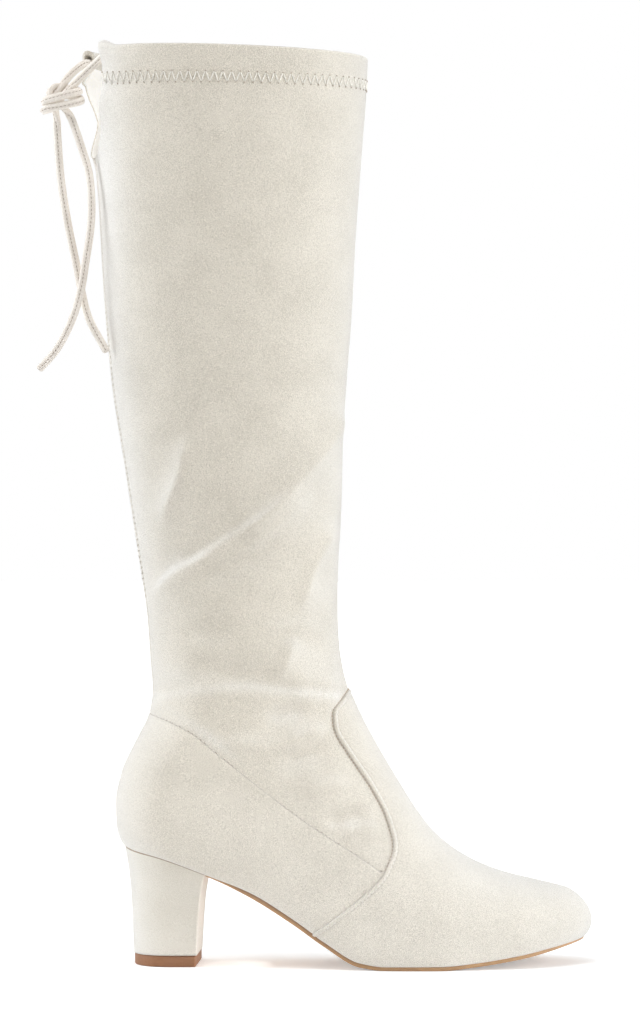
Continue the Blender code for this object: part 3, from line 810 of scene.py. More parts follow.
def shader(name: str) -> tuple[Material, Graph, bpy.types.Node]:
    """New material with its graph and its Principled node."""
    made = bpy.data.materials.new(name)
    made.use_nodes = True
    return made, Graph(made.node_tree), made.node_tree.nodes["Principled BSDF"]


def finished(
    name: str, effect: bpy.types.NodeTree, values: dict, bump: float, depth: float,
) -> tuple[Material, Graph, bpy.types.Node, bpy.types.Node]:
    """Material whose colour and relief come from a shared node group.

    Args:
        name: the material's name.
        effect: the node group.
        values: the group's own values.
        bump: strength of the relief.
        depth: depth of the relief in metres.

    Returns:
        The material, its graph, the group's node and the Principled node.
    """
    made, graph, principled = shader(name)
    # The seam attribute lays on dark seam lines and painted shade.
    seam = graph.add("ShaderNodeAttribute", attribute_name="seam").outputs["Fac"]
    node = graph.add("ShaderNodeGroup", {"Seam": seam, **values}, node_tree=effect)
    heights = {"Strength": bump, "Distance": depth, "Height": node.outputs["Height"]}
    relief = graph.add("ShaderNodeBump", heights)
    graph.tree.links.new(node.outputs["Colour"], principled.inputs["Base Color"])
    graph.tree.links.new(relief.outputs[0], principled.inputs["Normal"])
    return made, graph, node, principled


@dataclass(frozen=True)
class NapFinish:
    """Faux suede, lining or thread with a pile."""

    name: str
    light: Colour
    dark: Colour
    seam_colour: Colour
    grain_scale: float = 3400.0
    blotch: float = 0.28
    grain: float = 2.0
    bump: float = 1.0
    bump_depth: float = 0.0005
    # Pile colours that painted light mixes in, and the height and strength of the painted floor bounce.
    painted_lit_light: Colour = (0.96, 0.93, 0.88)
    painted_lit_dark: Colour = (0.75, 0.715, 0.65)
    painted_bounce_top: float = 0.13
    painted_bounce_most: float = 0.3
    roughness: float = 0.95
    specular: float = 0.2
    sheen: float = 0.15
    sheen_roughness: float = 0.7
    # Painted light: an emission that makes the piece glow though it is no lamp.
    glow: float = 0.0

    def material(self, effects: Effects) -> Material:
        """Make the material.

        Args:
            effects: the shared node groups.

        Returns:
            The material.
        """
        values = {"Seam Colour": opaque(self.seam_colour), "Grain Scale": self.grain_scale,
                  "Blotch": self.blotch, "Grain": self.grain}
        made, graph, nap, principled = finished(self.name, effects.nap, values, self.bump, self.bump_depth)
        # Painted light: the pile's colours are mixed towards the paler ones by painted highlights and painted
        # floor bounce.
        pale = self.painted_light_share(graph)
        tones = (("Light", self.light, self.painted_lit_light), ("Dark", self.dark, self.painted_lit_dark))
        for socket, usual, painted_lit in tones:
            graph.tree.links.new(graph.mix(pale, opaque(usual), opaque(painted_lit)), nap.inputs[socket])
        settings = {"Roughness": self.roughness, "Specular IOR Level": self.specular,
                    "Sheen Weight": self.sheen, "Sheen Roughness": self.sheen_roughness,
                    "Emission Color": opaque(self.light), "Emission Strength": self.glow}
        for socket, value in settings.items():
            principled.inputs[socket].default_value = value
        return made

    def painted_light_share(self, graph: Graph) -> Socket:
        """How much painted light the pile gets: painted highlights from the pale attribute, and painted floor
        bounce, paler towards the floor.
        """
        spot = graph.add("ShaderNodeTexCoord").outputs["Object"]
        height = graph.add("ShaderNodeSeparateXYZ", {0: spot}).outputs["Z"]
        # Painted floor bounce: paler towards the floor.
        low = graph.ramp(height, (self.painted_bounce_top, 0.0), (0.0, self.painted_bounce_most))
        painted_highlights = graph.add("ShaderNodeAttribute", attribute_name="pale").outputs["Fac"]
        return graph.math("MAXIMUM", low, painted_highlights)


@dataclass(frozen=True)
class SoleFinish:
    """Outsole or top lift."""

    name: str
    light: Colour
    dark: Colour
    seam_colour: Colour
    streak: float = 0.6
    bump: float = 0.25
    bump_depth: float = 0.0001

    def material(self, effects: Effects) -> Material:
        """Make the material.

        Args:
            effects: the shared node groups.

        Returns:
            The material.
        """
        values = {"Light": opaque(self.light), "Dark": opaque(self.dark),
                  "Seam Colour": opaque(self.seam_colour), "Streak": self.streak}
        made, graph, scuff, principled = finished(self.name, effects.scuff, values, self.bump,
                                                  self.bump_depth)
        graph.tree.links.new(scuff.outputs["Roughness"], principled.inputs["Roughness"])
        return made


SUEDE = NapFinish("cream_suede", (0.83, 0.757, 0.637), (0.525, 0.468, 0.368), (0.15, 0.07, 0.02),
                  sheen=1.0)
# CORD_SUEDE, LINING and THREAD glow as painted light; LINING's glow lightens the shaded inside of the boot.
CORD_SUEDE = NapFinish("cord_suede", (0.9, 0.84, 0.765), (0.75, 0.68, 0.605), (0.34, 0.25, 0.18),
                       grain_scale=2200.0, grain=0.6, bump=0.5, sheen=0.3, glow=0.03)
HEEL_SUEDE = NapFinish("heel_suede", (0.755, 0.69, 0.575), (0.635, 0.575, 0.465), (0.13, 0.055, 0.015),
                       grain=0.75, blotch=0.25, sheen=1.0)
LINING = NapFinish("knit_lining", (0.94, 0.925, 0.895), (0.87, 0.85, 0.815), (0.40, 0.36, 0.30),
                   grain_scale=1100.0, grain=1.0, glow=0.17)
THREAD = NapFinish("cream_thread", (0.92, 0.89, 0.82), (0.84, 0.8, 0.72), (0.66, 0.62, 0.55),
                   grain_scale=3200.0, glow=0.04)
SUNKEN_THREAD = NapFinish("sunken_thread", (0.42, 0.34, 0.26), (0.32, 0.25, 0.19),
                          (0.26, 0.22, 0.17), grain_scale=3200.0, sheen=0.0)
SEAM_THREAD = NapFinish("back_seam_thread", (0.73, 0.68, 0.6), (0.64, 0.59, 0.51),
                        (0.58, 0.53, 0.45), grain_scale=3200.0, sheen=0.0)
EDGE_THREAD = NapFinish("vamp_edge_thread", (0.56, 0.45, 0.33), (0.46, 0.36, 0.26), (0.3, 0.22, 0.15),
                        grain_scale=3200.0, sheen=0.0)
SEAT_EDGE = NapFinish("heel_seat_edge", (0.36, 0.24, 0.15), (0.28, 0.18, 0.11), (0.2, 0.13, 0.08),
                      sheen=0.0)
# Painted shade: dark dots that stand for the shade inside the needle holes.
NEEDLE_HOLE_SHADE = NapFinish("painted_needle_hole_shade", (0.52, 0.43, 0.34), (0.44, 0.36, 0.28), (0.2, 0.16, 0.12),
                 sheen=0.0)
OUTSOLE_TAN = SoleFinish("tan_outsole", (0.57, 0.345, 0.175), (0.44, 0.25, 0.12), (0.12, 0.055, 0.025))
LIFT_BROWN = SoleFinish("brown_top_lift", (0.34, 0.155, 0.07), (0.25, 0.108, 0.047),
                        (0.12, 0.05, 0.025), streak=0.5)
FINISHES = (
    SUEDE, HEEL_SUEDE, CORD_SUEDE, LINING, THREAD, SUNKEN_THREAD, SEAM_THREAD, NEEDLE_HOLE_SHADE, SEAT_EDGE, EDGE_THREAD,
    OUTSOLE_TAN, LIFT_BROWN,
)


def make_object(
    name: str, points: Array, faces: list | Array, materials: list[Material],
    slots: Array | None = None, seam: Array | None = None,
) -> Piece:
    """Mesh object from table points.

    Args:
        name: the piece's name.
        points: points in millimetres.
        faces: corners of each face.
        materials: the piece's materials.
        slots: the material of each face.
        seam: how much seam colour is laid on at each point, 0 to 1, for seam lines and painted shade.

    Returns:
        The object, riding on the boot's body.
    """
    mesh = bpy.data.meshes.new(name)
    listed = faces.tolist() if isinstance(faces, np.ndarray) else faces
    mesh.from_pydata(row_frame(points).tolist(), [], listed)
    mesh.polygons.foreach_set("use_smooth", np.ones(len(mesh.polygons), bool))
    for made in materials:
        mesh.materials.append(made)
    if slots is not None:
        mesh.polygons.foreach_set("material_index", slots.astype(np.int32))
    shade = np.zeros(len(points)) if seam is None else seam
    mesh.attributes.new("seam", "FLOAT", "POINT").data.foreach_set("value", shade.astype(np.float32))
    mesh.update()
    item = bpy.data.objects.new(name, mesh)
    bpy.context.scene.collection.objects.link(item)
    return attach(item, BODY)


def loft(rings: Array) -> tuple[Array, list]:
    """Closed solid through rings of points.

    Args:
        rings: rings by points by 3.

    Returns:
        Its points and faces.
    """
    count, size, _ = rings.shape
    grid = np.arange(count * size).reshape(count, size)
    closed = np.hstack([grid, grid[:, :1]])
    faces = quads(closed).tolist()
    faces.append(grid[0][::-1].tolist())
    faces.append(grid[-1].tolist())
    return rings.reshape(-1, 3), faces


def outward(item: Piece) -> None:
    """Turn a closed mesh's faces outward."""
    build = bmesh.new()
    build.from_mesh(item.data)
    bmesh.ops.recalc_face_normals(build, faces=build.faces)
    build.to_mesh(item.data)
    build.free()


def solid(
    name: str, node: str, rings: Array, materials: list[Material],
    slots: Array | None = None, seam: Array | None = None,
) -> Piece:
    """Closed piece through rings, with its sharp edges kept.

    Args:
        name: the piece's name.
        node: the solid that it stands for.
        rings: rings by points by 3.
        materials: the piece's materials.
        slots: the material of each face.
        seam: how much seam colour is laid on at each point, 0 to 1, for seam lines and painted shade.

    Returns:
        The piece.
    """
    item = make_object(name, *loft(rings), materials, slots, seam)
    outward(item)
    item.data.set_sharp_from_angle(angle=SHARP_ANGLE)
    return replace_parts(item, node)


def from_ends(count: int) -> Array:
    """Steps from the nearer end of a row of points."""
    return np.minimum(np.arange(count), np.arange(count)[::-1])


def tube_faces(count: int, length: int, sides: int) -> list:
    """Faces of closed tubes.

    Args:
        count: how many tubes there are.
        length: rings of each tube.
        sides: corners of each ring.

    Returns:
        Corners of each face, the caps last.
    """
    index = np.arange(count * length * sides).reshape(count, length, sides)
    faces = []
    for k in range(sides):
        after = (k + 1) % sides
        corners = [index[:, :-1, k], index[:, :-1, after], index[:, 1:, after], index[:, 1:, k]]
        faces.append(np.stack([corner.reshape(-1) for corner in corners], axis=1))
    return np.vstack(faces).tolist() + index[:, 0, ::-1].tolist() + index[:, -1, :].tolist()


def threads(paths: Array, normals: Array, radius: float, sides: int = 6) -> tuple[Array, list]:
    """Short lengths of thread.

    Args:
        paths: threads by points by 3.
        normals: the surface's normals at those points.
        radius: the thread's radius.
        sides: corners of its round.

    Returns:
        Points and faces of all the threads.
    """
    count, length, _ = paths.shape
    along = unit(np.gradient(paths, axis=1))
    across = unit(np.cross(along, normals))
    up = np.cross(across, along)
    angle = np.arange(sides) * FULL_TURN / sides
    thick = radius * rounding(THREAD_END + from_ends(length), THREAD_END_REACH)
    spread = np.cos(angle)[:, None] * across[:, :, None, :] + np.sin(angle)[:, None] * up[:, :, None, :]
    rings = paths[:, :, None, :] + spread * thick[None, :, None, None]
    return rings.reshape(-1, 3), tube_faces(count, length, sides)


@dataclass(frozen=True)
class Stitching:
    """Row of straight stitches, at an inset from its seam."""

    pitch: float
    length: float
    radius: float
    rise: float
    inset: float = 0.0
    steps: int = 5
    sunk_share: float = 0.4

    def along(self, line: Array, normals: Array) -> tuple[Array, Array]:
        """Thread paths along a line.

        Args:
            line: points along the seam.
            normals: the surface's normals there.

        Returns:
            Paths and their normals.
        """
        arc = lengths_along(line)
        centres = np.arange(self.pitch, arc[-1] - self.pitch / 2.0, self.pitch)
        share = np.linspace(-0.5, 0.5, self.steps)
        at = centres[:, None] + share * self.length
        up = unit(read_along(normals, arc, at))
        arch = self.rise * np.cos(share * math.pi) - self.radius * self.sunk_share
        return read_along(line, arc, at) + up * arch[None, :, None], up

    def sew(self, name: str, lines: list[tuple[Array, Array]], thread: Material, slot: str) -> Piece:
        """Piece of stitches along lines.

        Args:
            name: the piece's name.
            lines: points and normals of each line.
            thread: the stitches' material.
            slot: not used.

        Returns:
            The piece.
        """
        paths, normals = (np.vstack(column) for column in zip(*(self.along(*line) for line in lines)))
        return make_object(name, *threads(paths, normals, self.radius), [thread])


class Skin:
    """Grid over the last that the upper and its panels share."""

    EDGE_TURNS = (0.0, 0.0009, 0.0021, 0.0038, 0.006, 0.009, 0.013, 0.0185, 0.0255)
    MIDDLE_COLUMNS = 128
    TOE_STEPS = 12
    FOOT_STEPS = 72
    HEEL_STEPS = 8
    SHAFT_STEPS = ((HEEL_ROW, 60), (HEEL_ROW + 7.0, 84), (HEEL_ROW + 10.5, 26), (NOTCH_ROW, 0))
    NOTCH_STEPS = 14
    NOTCH_POWER = 1.6
    HEM_STEPS = 26
    HEM_POWER = 1.5

    def __init__(self, last: Last) -> None:
        """Lay the grid and weld it.

        Args:
            last: the form.
        """
        self.last = last
        edge = np.array(self.EDGE_TURNS)
        start = 2.0 * edge[-1] - edge[-2]
        middle = np.linspace(start, 1.0 - start, self.MIDDLE_COLUMNS)
        turns = np.concatenate([edge, middle, 1.0 - edge[::-1]])
        toe = (np.arange(self.TOE_STEPS) / self.TOE_STEPS) ** 2
        foot = np.linspace(1.0, HEEL_ROW - 1.0, self.FOOT_STEPS, endpoint=False)
        heel = HEEL_ROW - (np.arange(self.HEEL_STEPS, 0, -1) / self.HEEL_STEPS) ** 2
        spans = zip(self.SHAFT_STEPS, self.SHAFT_STEPS[1:])
        shaft = np.concatenate([np.linspace(first, after, steps, endpoint=False)
                                for (first, steps), (after, _) in spans])
        notch = NOTCH_ROW + (np.arange(self.NOTCH_STEPS) / self.NOTCH_STEPS) ** self.NOTCH_POWER
        hem = HEM_ROW + 1.0 - (1.0 - np.linspace(0.0, 1.0, self.HEM_STEPS)) ** self.HEM_POWER
        places = np.concatenate([toe, foot, heel, shaft, notch, hem])
        self.rows, self.columns = len(places), len(turns)
        self.place = np.repeat(places, self.columns)
        self.turn = np.tile(turns, self.rows)
        flat = last.skin(self.place, self.turn)
        self.points, index = welded(flat)
        self.grid = index.reshape(self.rows, self.columns)
        self.first = np.zeros(len(self.points), int)
        self.first[index] = np.arange(len(index))
        self.triangles = halves(quads(self.grid))
        self.normals = corner_normals(self.points, self.triangles)
        if self.normals[np.argmax(self.points[:, 0]), 0] < 0.0:
            self.normals = -self.normals
            self.triangles = self.triangles[:, ::-1]
        self.flat = flat.reshape(self.rows, self.columns, 3)

    def at_points(self, values: Array) -> Array:
        """Values of the grid at the welded points."""
        return values.reshape(-1)[self.first]

    def from_row_ends(self) -> tuple[Array, Array]:
        """Distance along each row from its lateral and its medial end, at the grid."""
        step = np.linalg.norm(np.diff(self.flat, axis=1), axis=2)
        zero = np.zeros((self.rows, 1))
        lateral = np.hstack([zero, np.cumsum(step, axis=1)])
        medial = np.hstack([np.cumsum(step[:, ::-1], axis=1)[:, ::-1], zero])
        return lateral, medial

    def from_rim(self) -> Array:
        """Distance down each column from the rim, at the grid."""
        step = np.linalg.norm(np.diff(self.flat, axis=0), axis=2)
        return np.vstack([np.cumsum(step[::-1], axis=0)[::-1], np.zeros((1, self.columns))])


@dataclass
class Upper:
    """Hollow upper with its folds, hem and tunnel mouths."""

    skin: Skin
    vamp_line: SeamLine
    counter_line: SeamLine
    wall: float = 1.6
    hem_wall: float = 3.0
    mouth_wall: float = 7.2
    wall_least: float = 0.2
    hem_step: float = 0.1
    fold_fade: float = 2.8
    taper_most: float = 14.0
    taper_share: float = 0.35
    fold_side_fade: float = 14.0
    crest: float = 1.3
    ridge_share: float = 0.8
    step_width: float = 2.7
    tilt_side: float = 0.7
    tilt_middle: float = 66.0
    tilt_reach: float = 30.0
    tilt_step: float = 0.8
    # Painted highlight and painted shade on the folds, by their slope towards the light.
    painted_highlight_gain: float = 0.55
    painted_highlight_most: float = 0.6
    painted_fold_shade_gain: float = 0.14
    painted_fold_shade_most: float = 0.06
    seam_lift: float = 0.75
    seam_lift_start: float = 0.9
    seam_lift_reach: float = 4.5
    back_groove: float = 0.45
    back_shade: float = 0.22
    back_groove_width: float = 0.8
    mouth_drop: float = 4.7
    mouth_half_width: float = 1.7
    mouth_half_height: float = 2.5
    mouth_shade: float = 0.85
    mouth_dark: float = 0.6
    mouth_fade: float = 0.35
    mouth_slope: float = 0.4
    mouth_depth: float = 8.0
    mouth_slack: float = 1.0
    mouth_power: int = 6
    mouth_turn: float = 1.0 / 26.0
    hem_groove: float = 0.12
    hem_groove_width: float = 2.6
    flap_reach: float = 8.0
    nub_rise: float = 0.8
    nub_reach: float = 8.0
    nub_power: int = 4
    nub_least: float = 0.4
    nub_tip: float = 3.0
    nub_start: float = 0.2
    lateral_flap: Points = (
        (404.0, 0.0), (412.0, 0.0), (418.0, -0.5), (421.5, -0.8), (428.0, -1.2), (435.0, -1.4), (440.0, -2.6),
        (445.6, -2.5), (453.4, -1.1), (458.6, 0.0), (464.0, 0.0), (468.0, -0.8), (471.6, -1.8), (474.0, -2.3),
        (479.0, -1.6),
    )
    medial_flap: Points = (
        (404.0, 0.0), (410.0, 0.0), (413.0, -0.3), (417.6, -1.8), (419.5, -2.4), (421.5, -2.4), (425.0, -1.9),
        (431.0, -0.5), (437.0, 0.9), (444.0, 0.0), (451.0, -1.3), (459.0, -1.3), (465.0, -0.5), (470.0, 0.0),
    )
    vamp: Array = field(init=False)
    counter: Array = field(init=False)
    fade: Array = field(init=False)

    def __post_init__(self) -> None:
        """Measure the skin from both seams, where the folds fade out."""
        points = self.skin.points
        self.vamp = self.vamp_line.measure(points)[0]
        self.counter = self.counter_line.measure(points)[0]
        clear = np.minimum(np.maximum(-self.vamp, 0.0), np.maximum(-self.counter, 0.0))
        self.fade = smooth(clear / self.fold_fade)

    def build(self, suede: Material, lining: Material) -> Piece:
        """Make the upper.

        Args:
            suede: outside and hem.
            lining: inside.

        Returns:
            The piece.
        """
        skin = self.skin
        normals = skin.normals
        middle = skin.points + normals * self.relief()[:, None]
        middle[:, 0] += self.flaps()
        middle[:, 2] += self.nub()
        thick = self.thickness()
        share = rounding(self.from_edges(), np.maximum(thick, self.wall_least) / 2.0)
        outer = middle - normals * (thick / 2.0 * (1.0 - share))[:, None]
        inner = middle - normals * (thick / 2.0 * (1.0 + share))[:, None]
        count = len(outer)
        pressed, shade = self.with_mouths(np.vstack([outer, inner]))
        both, index = welded(pressed)
        faces = np.vstack([skin.triangles, skin.triangles[:, ::-1] + count])
        place = skin.at_points(skin.place)
        lined = (place[skin.triangles].min(axis=1) < HEM_ROW + self.mouth_slope).astype(int)
        slots = np.concatenate([np.zeros(len(skin.triangles), int), lined])
        faces = index[faces]
        a, b, c = faces.T
        whole = (a != b) & (b != c) & (c != a)
        seam = np.zeros(len(both))
        # Painted shade on fold slopes turned from the light goes into the seam attribute; painted highlight
        # on slopes turned to it, with the patches, goes into the pale attribute.
        tilt = self.tilt()
        painted_fold_shade = np.clip(-tilt * self.painted_fold_shade_gain, 0.0, self.painted_fold_shade_most)
        seam[index[:count]] = self.back_seam() * self.back_shade + painted_fold_shade
        pale = np.zeros(len(both))
        pale[index[:count]] = np.clip(tilt * self.painted_highlight_gain, 0.0, self.painted_highlight_most) + self.painted_highlights()
        # The tunnel mouths' painted shade goes into the seam attribute.
        np.maximum.at(seam, index, shade)
        item = make_object("upper_shell", both, faces[whole], [suede, lining], slots[whole], seam)
        item.data.attributes.new("pale", "FLOAT", "POINT").data.foreach_set("value", pale.astype(np.float32))
        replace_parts(item, "upper")
        return item

    def relief(self) -> Array:
        """Height of the folds and seams over the last, at the welded points."""
        height = self.folds(self.skin.points) * self.fade
        above = np.maximum(-self.counter, 0.0)
        lift = (1.0 - np.exp(-above / self.seam_lift_start)) * np.exp(-above / self.seam_lift_reach)
        height += self.seam_lift * lift * smooth(-self.vamp / self.fold_fade)
        return height - self.back_groove * self.back_seam() - self.hem_groove * self.hem_line()

    def flaps(self) -> Array:
        """Backward shift of the notch's soft edges, at the welded points."""
        skin = self.skin
        height = skin.flat.reshape(-1, 3)[:, 2]
        ends = skin.from_row_ends()
        lateral, medial = (np.exp(-((end.reshape(-1) / self.flap_reach) ** 2)) for end in ends)
        shift = np.interp(height, *np.array(self.lateral_flap).T) * lateral
        shift += np.interp(height, *np.array(self.medial_flap).T) * medial
        return skin.at_points(np.where(skin.place > HEEL_ROW, shift, 0.0))

    def nub(self) -> Array:
        """Extra rise of the rim's soft corner at the notch's lateral edge, at the welded points."""
        skin = self.skin
        far = skin.from_row_ends()[0].reshape(-1)
        near = np.exp(-((far / self.nub_reach) ** self.nub_power))
        full = self.nub_least + (1.0 - self.nub_least) * smooth(far / self.nub_tip)
        high = smooth((skin.place - HEM_ROW - self.nub_start) / (1.0 - self.nub_start))
        return skin.at_points(self.nub_rise * near * full * high)

    def folds(self, points: Array) -> Array:
        """Sum of the creases at points."""
        total = np.zeros(len(points))
        for crease in CREASES:
            line = SeamLine(crease.points, 1.0)
            distance, along = line.measure(points)
            length = line.arc[-1]
            reach = min(self.taper_most, self.taper_share * length)
            taper = smooth(along / reach) * smooth((length - along) / reach)
            side = smooth(points[:, 1] * crease.side.value / self.fold_side_fade)
            far = np.abs(distance)
            if crease.form is Form.STEP:
                shape = -np.tanh(distance / self.step_width) * np.exp(-far / crease.width)
            elif crease.height > 0.0:
                far = np.sqrt(far**2 + self.crest**2) - self.crest
                shape = np.exp(-far / (self.ridge_share * crease.width))
            else:
                shape = np.exp(-((far / crease.width) ** 2))
            total += crease.height * shape * taper * side
        return total

    def tilt(self) -> Array:
        """Slope of the folds towards the light, at the welded points, which sets their painted highlight and
        painted shade.
        """
        points = self.skin.points
        sideways = self.tilt_side * np.clip((points[:, 0] - self.tilt_middle) / self.tilt_reach, -1.0, 1.0)
        step = self.tilt_step * np.stack([sideways, np.zeros(len(points)), np.ones(len(points))], axis=1)
        return (self.folds(points - step) - self.folds(points + step)) * self.fade / (2.0 * self.tilt_step)

    def painted_highlights(self) -> Array:
        """How much painted highlight the patches put on the pile, at the welded points."""
        points = self.skin.points
        total = np.zeros(len(points))
        for patch in PAINTED_HIGHLIGHTS:
            lean = math.radians(patch.lean)
            right, up = points[:, 0] - patch.x, points[:, 2] - patch.z
            along = (right * math.cos(lean) + up * math.sin(lean)) / patch.along
            across = (up * math.cos(lean) - right * math.sin(lean)) / patch.across
            side = smooth(points[:, 1] * patch.side.value / self.fold_side_fade)
            total += patch.strength * np.exp(-(along**2) - across**2) * side
        return total

    def back_seam(self) -> Array:
        """Nearness to the back seam, 0 to 1, at the welded points."""
        skin = self.skin
        nearest = np.minimum(*skin.from_row_ends()).reshape(-1)
        inside = (skin.place > HEEL_ROW) & (skin.place <= NOTCH_ROW)
        return skin.at_points(np.where(inside, np.exp(-((nearest / self.back_groove_width) ** 2)), 0.0))

    def hem_line(self) -> Array:
        """Nearness to the sewn line under the hem, 0 to 1, at the welded points."""
        down = self.skin.from_rim().reshape(-1)
        return self.skin.at_points(np.exp(-(((down - HemStitch.middle) / self.hem_groove_width) ** 2)))

    def thickness(self) -> Array:
        """Wall at the welded points."""
        skin = self.skin
        mouth = skin.last.mouth_share(skin.place, skin.turn)
        hem = smooth((skin.place - HEM_ROW) / self.hem_step)
        swell = mouth * smooth((skin.place - HEM_ROW) / self.mouth_slope)
        wall = self.wall + (self.hem_wall - self.wall) * hem + (self.mouth_wall - self.hem_wall) * swell
        return skin.at_points(wall)

    def from_edges(self) -> Array:
        """Distance from the rim, the notch and the lasting edge, at the welded points."""
        skin = self.skin
        ends = np.minimum(*skin.from_row_ends()).reshape(-1)
        open_row = (skin.place < HEEL_ROW) | (skin.place > NOTCH_ROW)
        ends = np.where(open_row, ends, np.inf)
        root = skin.last.skin(np.array([float(NOTCH_ROW)]), np.array([0.0]))
        from_root = np.linalg.norm(skin.flat.reshape(-1, 3) - root, axis=1)
        nearest = np.minimum(np.minimum(ends, from_root), skin.from_rim().reshape(-1))
        return skin.at_points(nearest)

    def mouth_axis(self, turn: float) -> tuple[Array, Array]:
        """Middle of a tunnel mouth and the direction into the hem.

        Args:
            turn: 0 for the lateral mouth, 1 for the medial one.

        Returns:
            The point and the direction.
        """
        last = self.skin.last
        step = self.mouth_turn if turn < 0.5 else -self.mouth_turn
        edge, further = last.skin(np.array([float(TOP_ROW)] * 2), np.array([turn, turn + step]))
        along = further - edge
        along[2] = 0.0
        along = unit(along)
        inward = np.array([along[1], -along[0], 0.0])
        inward = inward * np.sign(inward[0])
        middle = edge + inward * self.mouth_wall / 2.0
        middle[2] = last.table[TOP_ROW, Column.BACK_Z] - self.mouth_drop
        return middle, along

    def with_mouths(self, points: Array) -> tuple[Array, Array]:
        """Points with both tunnel mouths pressed in, and the shade painted inside each mouth, 0 to 1."""
        moved = points.copy()
        shade = np.zeros(len(points))
        for turn in (0.0, 1.0):
            middle, along = self.mouth_axis(turn)
            offset = points - middle
            depth = offset @ along
            aside = offset @ np.array([along[1], -along[0], 0.0])
            from_axis = np.hypot(aside / self.mouth_half_width, offset[:, 2] / self.mouth_half_height)
            near = (np.abs(depth) < self.mouth_wall / 2.0 + self.mouth_slack) & (from_axis < 1.0)
            push = 1.0 - from_axis**self.mouth_power
            moved[near] += (self.mouth_depth * push[:, None] * along)[near]
            # Painted shade inside the tunnel mouth.
            shade[near] = self.mouth_shade * smooth((self.mouth_dark - from_axis) / self.mouth_fade)[near]
        return moved, shade


